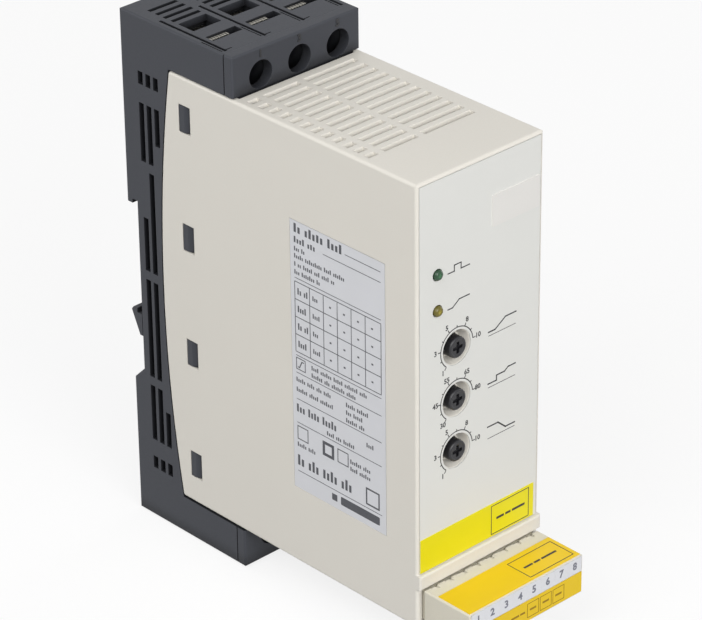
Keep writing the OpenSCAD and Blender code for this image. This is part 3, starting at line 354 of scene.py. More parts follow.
def ribbed(name, colour):
    """Clamp steel: fine ribs across the jaw that grip the wire, with painted shade darkening the bands
    between them.
    """
    finish = Finish(name, {"Metallic": 1.0})
    spot = finish.place()
    ribs = finish.bands(spot, RIB_PITCH, "X")
    cloud = finish.noise(spot, PLATING_PATCH, detail=4.0, roughness=0.6)
    body = finish.mix(cloud, shade(colour, 0.85), shade(colour, 1.1))
    # Painted shade in the dark bands across the ribs
    finish.set("Base Color", finish.mix(ribs * 0.7, body, shade(colour, 0.35)))
    finish.set("Roughness", 0.34 + (cloud - 0.5) * 0.14)
    finish.bump(ribs, 0.2 * MM, strength=0.7, normal=finish.soft_edge(METAL_ROUND))
    return finish.material


def lens(name, colour, centre):
    """Tinted lens: a painted highlight in the middle and painted shade darkening it round the rim."""
    finish = Finish(name, {"IOR": 1.45})
    spot = finish.place((1.0, 0.0, 1.0), centre)
    reach = finish.add("ShaderNodeVectorMath", {"operation": "LENGTH"}, {0: spot}, "Value")
    cloud = finish.noise(finish.place(), 0.8 * MM)
    # Painted highlight in the middle, and painted shade growing towards the rim
    painted_highlight = (1.0 - reach * (1.0 / LENS_HIGHLIGHT)).held() * 0.8
    body = finish.mix((reach * (1.0 / LENS_RIM_SHADE)).held(), shade(colour, 1.3), shade(colour, 0.6))
    finish.set("Base Color", finish.mix(painted_highlight, body, shade(colour, 3.4)))
    finish.set("Roughness", 0.16 + cloud * 0.1)
    return finish.material


def board(name, colour):
    """Circuit board: lacquered copper tracks in a grid over a fine weave."""
    finish = Finish(name, {"IOR": 1.5, "Coat Weight": 0.2})
    settings = {"offset": 0.5, "squash": 0.6, "squash_frequency": 3}
    inputs = {"Vector": finish.place((1.0, 0.0, 1.0)), "Scale": 1.0 / TRACK_PITCH, "Mortar Size": 0.06,
              "Mortar Smooth": 0.1}
    tracks = finish.add("ShaderNodeTexBrick", settings, inputs, "Fac")
    weave = finish.noise(finish.place(), 0.7 * MM)
    body = finish.mix(weave, shade(colour, 0.85), shade(colour, 1.1))
    finish.set("Base Color", finish.mix(tracks * 0.7, body, shade(colour, 1.9)))
    finish.set("Roughness", 0.34 + weave * 0.12)
    finish.bump(tracks + weave * 0.2, 0.03 * MM, strength=0.7)
    return finish.material


def banded(name, colour, pitch, dark, way="Z"):
    """Windings, sleeves and ribbed cable: even bands across the piece."""
    finish = Finish(name, {"IOR": 1.5})
    spot = finish.place()
    bands = finish.bands(spot, pitch, way, wander=0.2)
    cloud = finish.noise(spot, 4 * MM, detail=3.0)
    body = finish.mix(cloud, shade(colour, 0.9), shade(colour, 1.08))
    finish.set("Base Color", finish.mix(bands * 0.6, body, dark))
    finish.set("Roughness", 0.45 + (cloud - 0.5) * 0.15)
    finish.bump(bands, 0.1 * MM, strength=0.6)
    return finish.material


def ink(name, colour):
    """Screen-printed ink: a little uneven and less glossy than its label."""
    finish = Finish(name, {"IOR": 1.45})
    cloud = finish.noise(finish.place(), 0.6 * MM, detail=3.0)
    finish.set("Base Color", finish.mix(cloud, shade(colour, 0.8), shade(colour, 1.5)))
    finish.set("Roughness", 0.5 + cloud * 0.2)
    return finish.material


def finishes(colours):
    """One finish for each material slot of the record."""
    return {
        # The base plastic carries painted shade in its recesses, set by dark
        "base_plastic": moulded("base_plastic", colours.base, grain=0.4, roughness=0.52, depth=0.02, wear=0.3,
                                tint=0.06, shine=0.25, dark=0.25),
        "cover_plastic": moulded("cover_plastic", colours.cover, grain=0.3, roughness=0.46, depth=0.008,
                                 wear=0.1, tint=0.015),
        "sheet_plastic": film("sheet_plastic", colours.sheet, 0.48, 0.012),
        "yellow_label": film("yellow_label", colours.plug_label),
        "grey_label": film("grey_label", colours.rating, 0.36),
        "zinc_steel": metal("zinc_steel", colours.steel, 0.32),
        "copper": metal("copper", linear(196, 130, 88), 0.34),
        "contact_brass": metal("contact_brass", linear(205, 176, 104), 0.28),
        "board": board("board", linear(34, 92, 58)),
        "relay_plastic": moulded("relay_plastic", linear(206, 122, 40), grain=0.4, roughness=0.4),
        "black_plastic": moulded("black_plastic", linear(36, 36, 40), grain=0.3),
        "aluminium": metal("aluminium", linear(205, 207, 210), 0.36, (1.0, 1.0, 0.06)),
        "winding": banded("winding", linear(198, 158, 72), 0.5 * MM, linear(120, 84, 30)),
        "capacitor_sleeve": banded("capacitor_sleeve", linear(46, 62, 102), 14 * MM, linear(170, 174, 184)),
        "cable_grey": banded("cable_grey", linear(140, 142, 146), 1.27 * MM, linear(92, 94, 98), way="X"),
        "socket_plastic": moulded("socket_plastic", linear(232, 228, 216), grain=0.3),
        "trimmer_plastic": moulded("trimmer_plastic", linear(60, 106, 170), grain=0.3, roughness=0.42),
        "dial_plastic": moulded("dial_plastic", colours.dial, grain=0.3, roughness=0.34, depth=0.008,
                                wear=0.5),
        "green_lens": lens("green_lens", colours.green, middle("power_light")),
        "yellow_lens": lens("yellow_lens", colours.yellow, middle("run_light")),
        "header_plastic": moulded("header_plastic", linear(214, 208, 190)),
        "plug_plastic": moulded("plug_plastic", colours.plug, roughness=0.48, depth=0.01, wear=0.12,
                                tint=0.02),
    }


def finished(name):
    """The material made for a slot or a print."""
    return bpy.data.materials[f"{name}_finish"]


def middle(node):
    """Middle of a CAD node's box."""
    low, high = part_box(node)
    return tuple((low + high) / 2)


def rest():
    """Leave edit mode with nothing selected."""
    if bpy.context.mode != "OBJECT":
        bpy.ops.object.mode_set(mode="OBJECT")
    bpy.ops.object.select_all(action="DESELECT")


def take(*pieces):
    """Select only these pieces; the first is the active one."""
    rest()
    for piece in pieces:
        piece.select_set(True)
    bpy.context.view_layer.objects.active = pieces[0]


def settle(piece):
    """Put a piece's place into its mesh."""
    take(piece)
    bpy.ops.object.transform_apply(location=True, rotation=True, scale=True)
    return piece


def choose(piece, kind, test):
    """In edit mode, select the faces or edges that pass a test."""
    take(piece)
    bpy.ops.object.mode_set(mode="EDIT")
    bpy.ops.mesh.select_mode(type=kind)
    bpy.ops.mesh.select_all(action="DESELECT")
    mesh = bmesh.from_edit_mesh(piece.data)
    found = 0
    for part in mesh.faces if kind == "FACE" else mesh.edges:
        if test(part):
            part.select_set(True)
            found += 1
    bmesh.update_edit_mesh(piece.data)
    if not found:
        raise RuntimeError(f"nothing to select on {piece.name}")


def close(piece):
    """Merge doubles and turn all faces outwards."""
    take(piece)
    bpy.ops.object.mode_set(mode="EDIT")
    bpy.ops.mesh.select_all(action="SELECT")
    bpy.ops.mesh.remove_doubles(threshold=0.001 * MM)
    bpy.ops.mesh.normals_make_consistent(inside=False)
    rest()
    return piece


def cylinder(radius, length, place, vertices):
    """A closed cylinder that lies from front to rear."""
    rest()
    bpy.ops.mesh.primitive_cylinder_add(vertices=vertices, radius=radius, depth=length, end_fill_type="NGON",
                                        rotation=FRONT, location=place)
    return settle(bpy.context.object)


def bevel(width, segments):
    """Round the selected edges."""
    bpy.ops.mesh.bevel(offset=width, segments=segments, affect="EDGES")


def push(offset):
    """Draw the selected faces out by an offset."""
    bpy.ops.mesh.extrude_region_move(TRANSFORM_OT_translate={"value": offset})


def repeat(pattern, place, turn=UPPER, size=(1.0, 1.0, 1.0)):
    """A copy of a pattern with its own mesh, at a place, turn and size."""
    take(pattern)
    bpy.ops.object.duplicate(linked=False)
    copy = bpy.context.object
    copy.location = place
    copy.rotation_euler = turn
    copy.scale = size
    return copy


def unite(pieces):
    """Join pieces into one."""
    take(*pieces)
    if len(pieces) > 1:
        bpy.ops.object.join()
    return settle(bpy.context.object)


def copy_to(piece, node, low):
    """A copy of a piece for another node, where low is the near corner of the piece's own node."""
    return settle(repeat(piece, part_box(node)[0] - low))


def discard(piece):
    take(piece)
    bpy.ops.object.delete()


def cut_bar(piece, place, turn, size, corner, test):
    """Cut a bar out of a piece, with the bar's edges rounded where they pass a test."""
    bpy.ops.mesh.primitive_cube_add(size=1.0, location=place, rotation=(0.0, turn, 0.0))
    bar = bpy.context.object
    bar.scale = size
    settle(bar)
    choose(bar, "EDGE", test)
    bevel(corner, 2)
    take(piece)
    cut = piece.modifiers.new("cut", "BOOLEAN")
    cut.operation = "DIFFERENCE"
    cut.solver = "EXACT"
    cut.object = bar
    bpy.ops.object.modifier_apply(modifier=cut.name)
    discard(bar)


def smooth(piece, angle):
    """Shade a piece smooth, apart from edges sharper than an angle in degrees."""
    take(piece)
    bpy.ops.object.shade_smooth_by_angle(angle=math.radians(angle))
    rest()


def hand_in(piece, name, finish, body, slot, *nodes):
    """Name a finished piece, give it its finish and set it on its body."""
    rest()
    piece.name = name
    piece.data.name = name
    piece.data.materials.clear()
    piece.data.materials.append(finish)
    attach(piece, body)
    if nodes:
        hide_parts(*nodes)


def flat_stroke():
    """Pattern for a printed stroke: a unit slab with rounded corners and its foot at nought."""
    rest()
    bpy.ops.mesh.primitive_cube_add(size=1.0, location=(0.0, 0.0, 0.5))
    slab = settle(bpy.context.object)
    choose(slab, "EDGE", lambda e: abs(e.verts[0].co.z - e.verts[1].co.z) > 0.5)
    bevel(STROKE_CORNER, 2)
    rest()
    return slab


def figure(words, height, place, turn, depth):
    """A number as a closed mesh that reaches from its place by a depth to the front and to the rear."""
    rest()
    bpy.ops.object.text_add(location=place, rotation=turn)
    item = bpy.context.object
    item.data.body = words
    item.data.size = height / FIGURE_SHARE
    item.data.align_x = "CENTER"
    item.data.align_y = "CENTER"
    item.data.extrude = depth
    item.data.offset = height * FIGURE_BOLD
    item.data.resolution_u = 2
    take(item)
    bpy.ops.object.convert(target="MESH")
    return close(settle(bpy.context.object))


class Printer:
    """Draws strokes and frames on one flat face of the part"""

    # Heights of the strokes that stand for words, their spacing and the gap between groups in stroke widths
    RISES = (1.0, 0.68, 0.68, 1.0, 0.68, 0.84, 0.68)
    SPACING = 1.7
    GROUP_GAP = 1.5

    def __init__(self, turn, origin, across, up, depth):
        self.pattern = flat_stroke()
        self.turn = turn
        self.origin = Vector(origin)
        self.across = Vector(across)
        self.up = Vector(up)
        self.depth = depth
        self.pieces = []

    def spot(self, u, v):
        return self.origin + self.across * (u * MM) + self.up * (v * MM)

    def bar(self, u, v, width, height):
        """A stroke whose lower left corner is at u, v."""
        size = (width * MM, height * MM, self.depth)
        self.pieces.append(repeat(self.pattern, self.spot(u + width / 2, v + height / 2), self.turn, size))

    def box(self, u, v, width, height, line):
        """An outline with its lower left corner at u, v."""
        self.bar(u, v, width, line)
        self.bar(u, v + height - line, width, line)
        self.bar(u, v + line, line, height - 2 * line)
        self.bar(u + width - line, v + line, line, height - 2 * line)

    def row(self, u, v, height, widths, gap):
        """A row of strokes that stands for a line of words."""
        for width in widths:
            self.bar(u, v, width, height)
            u += width + gap

    def words(self, u, v, height, counts, stroke=0.42):
        """Groups of short upright strokes in place of words, as many in each group as counts say."""
        place = 0
        for count in counts:
            for _ in range(count):
                self.bar(u, v, stroke, height * self.RISES[place % len(self.RISES)])
                u += stroke * self.SPACING
                place += 1
            u += stroke * self.GROUP_GAP

    def trail(self, points, width):
        """Strokes of one width from point to point."""
        flat = Euler(self.turn).to_matrix()
        for first, last in zip(points, points[1:]):
            way = Vector(last) - Vector(first)
            middle = (Vector(first) + Vector(last)) / 2
            turn = (flat @ Matrix.Rotation(math.atan2(way.y, way.x), 3, "Z")).to_euler()
            size = ((way.length + width) * MM, width * MM, self.depth)
            self.pieces.append(repeat(self.pattern, self.spot(*middle), turn, size))

    def done(self):
        """All strokes as one piece."""
        discard(self.pattern)
        return unite(self.pieces)


class SOFTSTARTER_OT_solids(bpy.types.Operator):
    """Give every solid of the frame the finish of its material slot"""

    bl_idname = "softstarter.solids"
    bl_label = "Finish the solids"

    def execute(self, context):
        colours = context.scene.starter_colours
        made = finishes(colours)
        own = {"front_band": film("band_label", colours.band),
               "marker_tag": film("marker_tag", colours.tag, 0.5, 0.012)}
        clamp_steel = ribbed("clamp_steel", colours.clamp)
        own.update({f"{row}_clamp_{pole}": clamp_steel for row in ("line", "load") for pole in (1, 2, 3)})
        for row in frame["record"]["subparts"]:
            node = frame["nodes"][row["node"]]
            node.data.materials.clear()
            node.data.materials.append(own.get(row["node"], made[row["material_slot"]]))
        for name in ("ink", "label_ink", "grey_ink", "brown_ink"):
            ink(name, getattr(colours, name))
        moulded("marker_strip", colours.strip, grain=0.4, roughness=0.45, depth=0.006, wear=0.05, tint=0.015)
        return {"FINISHED"}


class SOFTSTARTER_OT_dials(bpy.types.Operator):
    """Model a dial with a rounded rim, a dished face, a cross slot and a stem, and copy it for the others"""

    bl_idname = "softstarter.dials"
    bl_label = "Dials"

    HEAD = 3.6 * MM
    RIM = 0.45 * MM
    STEM_RADIUS = 1.5 * MM
    # Flat border of the face, and the slope and the depth of the dish inside it
    BORDER = 0.25 * MM
    DISH_SLOPE = 0.12 * MM
    DISH = 0.12 * MM
    # Cutter for a bar of the cross: length, depth, of which half is in the dial, and width; and its corners
    CROSS = (3.4 * MM, 2.2 * MM, 1.05 * MM)
    CROSS_CORNER = 0.2 * MM

    def execute(self, context):
        low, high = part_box("start_dial")
        centre = (low + high) / 2
        radius = (high.x - low.x) / 2
        dial = cylinder(radius, self.HEAD, (centre.x, low.y + self.HEAD / 2, centre.z), 64)
        choose(dial, "FACE", lambda f: f.normal.y < -0.9)
        bevel(self.RIM, 3)
        choose(dial, "FACE", lambda f: f.normal.y < -0.99)
        bpy.ops.mesh.inset(thickness=self.BORDER)
        bpy.ops.mesh.inset(thickness=self.DISH_SLOPE, depth=-self.DISH)
        choose(dial, "FACE", lambda f: f.normal.y > 0.9)
        bpy.ops.mesh.inset(thickness=radius - self.STEM_RADIUS)
        push((0.0, high.y - low.y - self.HEAD, 0.0))
        rest()
        for turn in (0.0, QUARTER):
            cut_bar(dial, (centre.x, low.y, centre.z), turn, self.CROSS, self.CROSS_CORNER,
                    lambda e: abs(e.verts[0].co.y - e.verts[1].co.y) > self.CROSS[1] / 2)
        close(dial)
        smooth(dial, 40.0)
        dials = {"start": dial}
        for name in ("voltage", "stop"):
            dials[name] = copy_to(dial, f"{name}_dial", low)
        for name, piece in dials.items():
            hand_in(piece, f"{name}_knob", finished("dial_plastic"), f"{name}_dial", "dial_plastic",
                    f"{name}_dial")
        return {"FINISHED"}


class SOFTSTARTER_OT_lights(bpy.types.Operator):
    """Model a domed light and copy it for the other"""

    bl_idname = "softstarter.lights"
    bl_label = "Indicator lights"

    DOME = 0.85 * MM
    # Border of the dome's flat top, and the slope and the rise of the crown on it
    BORDER = 0.25 * MM
    CROWN_SLOPE = 0.2 * MM
    CROWN = 0.05 * MM

    def execute(self, context):
        low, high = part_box("power_light")
        light = cylinder((high.x - low.x) / 2, high.y - low.y, tuple((low + high) / 2), 48)
        choose(light, "FACE", lambda f: f.normal.y < -0.9)
        bevel(self.DOME, 6)
        choose(light, "FACE", lambda f: f.normal.y < -0.99)
        bpy.ops.mesh.inset(thickness=self.BORDER)
        bpy.ops.mesh.inset(thickness=self.CROWN_SLOPE, depth=self.CROWN)
        rest()
        close(light)
        smooth(light, 50.0)
        other = copy_to(light, "run_light", low)
        for name, piece, slot in (("power", light, "green_lens"), ("run", other, "yellow_lens")):
            hand_in(piece, f"{name}_lens", finished(slot), "housing", slot, f"{name}_light")
        return {"FINISHED"}


class SOFTSTARTER_OT_scales(bpy.types.Operator):
    """Print the ring, ticks and figures round each dial"""

    bl_idname = "softstarter.scales"
    bl_label = "Dial scales"

    FIGURES = {"start": ("1", "3", "5", "8", "10"), "voltage": ("30", "45", "55", "65", "80"),
               "stop": ("1", "3", "5", "8", "10")}
    START = math.radians(230.0)
    SWEEP = math.radians(225.0)
    SPACES = 8
    LONG_TICK = 0.9 * MM
    SHORT_TICK = 0.5 * MM
    # Overlap of a tick with the ring, and distance of a figure's middle from the ring
    TICK_ROOT = 0.05 * MM
    FIGURE_GAP = 1.75 * MM
    # Slack at the ring's end, in radians
    SLACK = 0.02

    def blank(self, sizes, pattern):
        """A ring with a gap at the lower right and ticks outwards, lying flat round the origin."""
        rest()
        bpy.ops.mesh.primitive_circle_add(vertices=80, radius=sizes.scale_radius, fill_type="NGON")
        ring = bpy.context.object
        choose(ring, "FACE", lambda f: True)
        bpy.ops.mesh.inset(thickness=sizes.scale_line)
        inner = sizes.scale_radius * 0.5
        choose(ring, "FACE", lambda f: f.calc_center_median().length < inner
               or self.in_gap(f.calc_center_median()))
        bpy.ops.mesh.delete(type="FACE")
        choose(ring, "FACE", lambda f: True)
        push((0.0, 0.0, sizes.ink_depth))
        rest()
        pieces = [close(ring)]
        for i in range(self.SPACES + 1):
            length = self.SHORT_TICK if i % 2 else self.LONG_TICK
            angle = self.angle(i / self.SPACES)
            reach = sizes.scale_radius + length / 2 - self.TICK_ROOT
            place = (math.cos(angle) * reach, math.sin(angle) * reach, 0.0)
            size = (length, sizes.scale_line, sizes.ink_depth)
            pieces.append(repeat(pattern, place, (0.0, 0.0, angle), size))
        return unite(pieces)

    def angle(self, share):
        return self.START - self.SWEEP * share

    def in_gap(self, spot):
        turned = (self.START - math.atan2(spot.y, spot.x)) % math.tau
        return turned > self.SWEEP + self.SLACK

    def execute(self, context):
        sizes = context.scene.starter_sizes
        pattern = flat_stroke()
        blank = self.blank(sizes, pattern)
        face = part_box("front_sheet")[0].y
        for name, words in self.FIGURES.items():
            low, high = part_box(f"{name}_dial")
            centre = Vector(((low.x + high.x) / 2, face, (low.z + high.z) / 2))
            pieces = [settle(repeat(blank, centre, FRONT))]
            for i, word in enumerate(words):
                angle = self.angle(i / (len(words) - 1))
                reach = sizes.scale_radius + self.FIGURE_GAP
                place = centre + Vector((math.cos(angle), 0.0, math.sin(angle))) * reach
                pieces.append(figure(word, sizes.figure, place, FRONT, sizes.ink_depth))
            hand_in(unite(pieces), f"{name}_scale", finished("ink"), "housing", "sheet_plastic")
        discard(blank)
        discard(pattern)
        return {"FINISHED"}


class SOFTSTARTER_OT_icons(bpy.types.Operator):
    """Print a small sign beside each dial and light: ramp up, level, ramp down, supply and full level"""

    bl_idname = "softstarter.icons"
    bl_label = "Function signs"

    # Corners of each sign in millimetres from its lower left end
    DIAL_SIGNS = {
        "start": ((0.0, 0.0), (2.4, 0.0), (6.2, 2.4), (10.0, 2.4)),
        "voltage": ((0.0, 0.0), (3.1, 0.0), (3.1, 1.5), (6.0, 1.5), (7.4, 2.4), (10.0, 2.4)),
        "stop": ((0.0, 2.4), (3.8, 2.4), (6.6, 0.0), (10.0, 0.0)),
    }
    LIGHT_SIGNS = {
        "power": ((0.0, 0.0), (2.2, 0.0), (2.2, 1.7), (4.6, 1.7), (4.6, 0.0), (7.6, 0.0)),
        "run": ((0.0, 0.0), (1.6, 0.0), (4.0, 1.7), (7.6, 1.7)),
    }
    # Distance of a sign from its dial or light, its height against the middle, and its line width
    DIAL_PLACE = (8.4, -0.2, 0.4)
    LIGHT_PLACE = (2.2, -1.1, 0.34)
    # Drop, length and width of the base line below a dial's sign
    BASE_LINE = (1.2, 10.0, 0.18)

    def corner(self, node, place):
        """Lower left end of a sign beside a node, in millimetres."""
        low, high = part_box(node)
        return high.x / MM + place[0], (low.z + high.z) / 2 / MM + place[1]

    def execute(self, context):
        depth = context.scene.starter_sizes.ink_depth
        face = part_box("front_sheet")[0].y
        pen = Printer(FRONT, (0.0, face, 0.0), RIGHTWARDS, UPWARDS, depth)
        drop, length, line = self.BASE_LINE
        for name, points in self.DIAL_SIGNS.items():
            u, v = self.corner(f"{name}_dial", self.DIAL_PLACE)
            pen.trail([(u + a, v + b) for a, b in points], self.DIAL_PLACE[2])
            pen.bar(u, v - drop, length, line)
        for name, points in self.LIGHT_SIGNS.items():
            u, v = self.corner(f"{name}_light", self.LIGHT_PLACE)
            pen.trail([(u + a, v + b) for a, b in points], self.LIGHT_PLACE[2])
        hand_in(pen.done(), "function_signs", finished("ink"), "housing", "sheet_plastic")
        return {"FINISHED"}


class SOFTSTARTER_OT_rating(bpy.types.Operator):
    """Print plain rules, a grid, frames and rows of strokes on the side label"""

    bl_idname = "softstarter.rating"
    bl_label = "Side label print"

    # All in millimetres from the label's lower left corner
    LEFT_EDGE = 1.5
    # Rows of large strokes: left end, foot, height, strokes in each group and stroke width
    HEADINGS = (
        (1.5, 77.0, 2.6, (2, 5, 4), 0.85),
        (1.5, 74.0, 1.8, (4, 3), 0.62),
        (1.5, 23.6, 2.4, (3, 4, 5), 0.66),
        (1.5, 7.2, 3.2, (2, 3, 4, 3), 0.85),
    )
    # Rows of small strokes: left end, foot and strokes in each group
    LINES = (
        (1.5, 71.6, (3, 2)), (1.5, 69.5, (5, 9, 4, 6)), (1.5, 67.1, (1, 2, 5, 3, 4, 2)),
        (1.5, 64.8, (3, 7, 2)), (7.4, 38.4, (4, 6, 5, 7, 4)), (7.4, 36.2, (6, 3, 7, 5)),
        (1.5, 32.8, (5, 4, 3, 4)), (1.5, 29.8, (6, 5, 7)), (20.4, 32.8, (5, 6)),
        (20.4, 30.5, (3, 5)), (20.4, 28.2, (6, 3)), (28.0, 23.9, (4,)),
        (13.0, 21.1, (4, 3, 6)), (1.5, 13.0, (5, 4)), (21.8, 16.2, (6, 4)),
        (21.8, 14.0, (4, 6)),
    )
    LINE_HEIGHT = 1.3
    # Rules that run to the right edge: left end and height
    RULES = (
        (20.6, 77.4), (12.4, 74.4), (1.5, 63.6), (1.5, 40.6),
        (1.5, 35.4), (1.5, 27.4), (1.5, 20.2), (1.5, 5.3),
    )
    RULE = 0.2
    # Grid: left edges of its columns, foot, height of a row, number of rows and line width
    COLUMNS = (1.5, 7.1, 12.3, 17.5, 22.7, 27.9)
    GRID_FOOT = 41.8
    GRID_ROW = 5.2
    GRID_ROWS = 4
    GRID_LINE = 0.24
    # Strokes in the grid's first two columns: inset, rise, height and stroke width
    FIRST_CELL = (1.0, 1.6, 1.9, 0.5)
    SECOND_CELL = (1.1, 1.9, 1.4, 0.42)
    # Dash in the other columns: inset, rise, width and height
    DASH = (2.2, 2.2, 0.7, 0.5)
    # Square frames: left edge, foot, side and line width
    FRAMES = (
        (1.5, 36.5, 3.6, 0.26),
        (1.5, 15.2, 4.2, 0.3),
        (11.2, 14.4, 4.4, 0.9),
        (16.9, 14.6, 4.2, 0.3),
        (27.6, 6.4, 5.2, 0.5),
    )
    # Curve in the first frame, and its line width
    CURVE = ((2.3, 37.3), (2.8, 37.3), (3.7, 39.2), (4.3, 39.2))
    CURVE_LINE = 0.32
    # Solid blocks: left edge, foot, width and height
    BLOCKS = ((14.6, 2.1, 2.0, 2.0), (18.0, 1.9, 14.8, 2.5))

    def cell(self, pen, u, v, layout, counts):
        inset, rise, height, stroke = layout
        pen.words(u + inset, v + rise, height, counts, stroke)

    def grid(self, pen, right):
        """The grid with strokes in its first two columns and a dash in the others."""
        for u in (*self.COLUMNS, right):
            pen.bar(u - self.GRID_LINE / 2, self.GRID_FOOT, self.GRID_LINE, self.GRID_ROW * self.GRID_ROWS)
        for i in range(self.GRID_ROWS + 1):
            v = self.GRID_FOOT + self.GRID_ROW * i - self.GRID_LINE / 2
            pen.bar(self.LEFT_EDGE, v, right - self.LEFT_EDGE, self.GRID_LINE)
        first, second, *others = self.COLUMNS
        for i in range(self.GRID_ROWS):
            v = self.GRID_FOOT + self.GRID_ROW * i
            self.cell(pen, first, v, self.FIRST_CELL, (2, 2) if i % 2 else (4,))
            self.cell(pen, second, v, self.SECOND_CELL, (3,) if i % 2 else (4,))
            inset, rise, width, height = self.DASH
            for u in others:
                pen.bar(u + inset, v + rise, width, height)

    def execute(self, context):
        depth = context.scene.starter_sizes.ink_depth
        low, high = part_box("side_label")
        pen = Printer(LEFT, (low.x, high.y, low.z), FORWARDS, UPWARDS, depth)
        right = (high.y - low.y) / MM - self.LEFT_EDGE
        for heading in self.HEADINGS:
            pen.words(*heading)
        for u, v, counts in self.LINES:
            pen.words(u, v, self.LINE_HEIGHT, counts)
        for u, v in self.RULES:
            pen.bar(u, v, right - u, self.RULE)
        self.grid(pen, right)
        for u, v, side, line in self.FRAMES:
            pen.box(u, v, side, side, line)
        pen.trail(self.CURVE, self.CURVE_LINE)
        for block in self.BLOCKS:
            pen.bar(*block)
        hand_in(pen.done(), "rating_print", finished("label_ink"), "housing", "grey_label")
        return {"FINISHED"}


class SOFTSTARTER_OT_yellow_prints(bpy.types.Operator):
    """Print plain frames and strokes on the front band and on the plug's two labels"""

    bl_idname = "softstarter.yellow_prints"
    bl_label = "Yellow label prints"

    # Frames on the band and on the plug's top: left edge, foot, width and height in millimetres
    BAND_FRAME = (25.9, 0.5, 14.2, 8.9)
    TOP_FRAME = (23.6, 1.0, 16.4, 8.8)
    FRAME_LINE = 0.24
    # Row of strokes in a frame: inset from its left edge, height, shares of the frame's width and gap
    STROKES = (2.0, 0.7, (0.2, 0.14, 0.34), 0.5)
    # Small frames on the plug's front: left edges, foot, side and line width
    SMALL_FRAMES = (20.6, 25.4, 30.2)
    SMALL_FOOT = 0.9
    SMALL_SIDE = 4.4
    SMALL_LINE = 0.2
    # Row of strokes left of them: left end, foot, height, widths and gap; and the dash in each frame
    SMALL_ROW = (12.0, 2.8, 0.6, (2.2, 3.0, 1.8), 0.4)
    DASH = 2.4

    def frame_group(self, pen, u, v, width, height):
        """A frame with a row of strokes in it."""
        pen.box(u, v, width, height, self.FRAME_LINE)
        inset, tall, shares, gap = self.STROKES
        pen.row(u + inset, v + (height - tall) / 2, tall, [width * share for share in shares], gap)

    def small_frames(self, pen):
        """Small frames with a dash in each, and a row of strokes left of them."""
        _, foot, height, _, _ = self.SMALL_ROW
        for u in self.SMALL_FRAMES:
            pen.box(u, self.SMALL_FOOT, self.SMALL_SIDE, self.SMALL_SIDE, self.SMALL_LINE)
            pen.bar(u + (self.SMALL_SIDE - self.DASH) / 2, foot, self.DASH, height)
        pen.row(*self.SMALL_ROW)

    def execute(self, context):
        depth = context.scene.starter_sizes.ink_depth
        low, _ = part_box("front_band")
        pen = Printer(FRONT, low, RIGHTWARDS, UPWARDS, depth)
        self.frame_group(pen, *self.BAND_FRAME)
        hand_in(pen.done(), "band_print", finished("ink"), "housing", "yellow_label")
        low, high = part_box("plug_top_label")
        pen = Printer(UPPER, (low.x, low.y, high.z), RIGHTWARDS, REARWARDS, depth)
        self.frame_group(pen, *self.TOP_FRAME)
        hand_in(pen.done(), "plug_top_print", finished("ink"), "control_plug", "yellow_label")
        low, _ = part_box("plug_front_label")
        pen = Printer(FRONT, low, RIGHTWARDS, UPWARDS, depth)
        self.small_frames(pen)
        hand_in(pen.done(), "plug_front_print", finished("brown_ink"), "control_plug", "yellow_label")
        return {"FINISHED"}


class SOFTSTARTER_OT_marker_strip(bpy.types.Operator):
    """Model the plug's marker strip with one field for each conductor, and print their figures"""

    bl_idname = "softstarter.marker_strip"
    bl_label = "Plug marker strip"

    POLES = 8
    # Gaps to the plug's top and to its front label, and distance behind that label's face
    TOP_GAP = 0.1 * MM
    FOOT_GAP = 0.25 * MM
    SET_BACK = 0.03 * MM
    # Border of a field, and the slope and the depth of the field inside it
    BORDER = 0.12 * MM
    SLOPE = 0.06 * MM
    FIELD = 0.05 * MM
    # Middle of a figure behind the strip's face, and its reach to both sides
    FIGURE_BACK = 0.04 * MM
    FIGURE_REACH = 0.05 * MM

    def execute(self, context):
        sizes = context.scene.starter_sizes
        low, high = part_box("plug_front_label")
        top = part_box("control_plug")[1].z - self.TOP_GAP
        bottom = high.z + self.FOOT_GAP
        front = low.y + self.SET_BACK
        rest()
        bpy.ops.mesh.primitive_grid_add(x_subdivisions=self.POLES, y_subdivisions=1, size=1.0)
        strip = bpy.context.object
        strip.scale = (high.x - low.x, top - bottom, 1.0)
        strip.rotation_euler = FRONT
        strip.location = ((low.x + high.x) / 2, front, (top + bottom) / 2)
        settle(strip)
        choose(strip, "FACE", lambda f: True)
        bpy.ops.mesh.inset(thickness=self.BORDER, use_individual=True)
        bpy.ops.mesh.inset(thickness=self.SLOPE, depth=-self.FIELD, use_individual=True)
        bpy.ops.mesh.select_all(action="SELECT")
        push((0.0, high.y - front, 0.0))
        rest()
        close(strip)
        hand_in(strip, "marker_strip", finished("marker_strip"), "control_plug", "plug_plastic")
        figures = []
        for i in range(self.POLES):
            x = low.x + (high.x - low.x) * (i + 0.5) / self.POLES
            place = (x, front + self.FIGURE_BACK, (top + bottom) / 2)
            figures.append(figure(str(i + 1), sizes.plug_figure, place, FRONT, self.FIGURE_REACH))
        hand_in(unite(figures), "plug_figures", finished("grey_ink"), "control_plug", "plug_plastic")
        return {"FINISHED"}


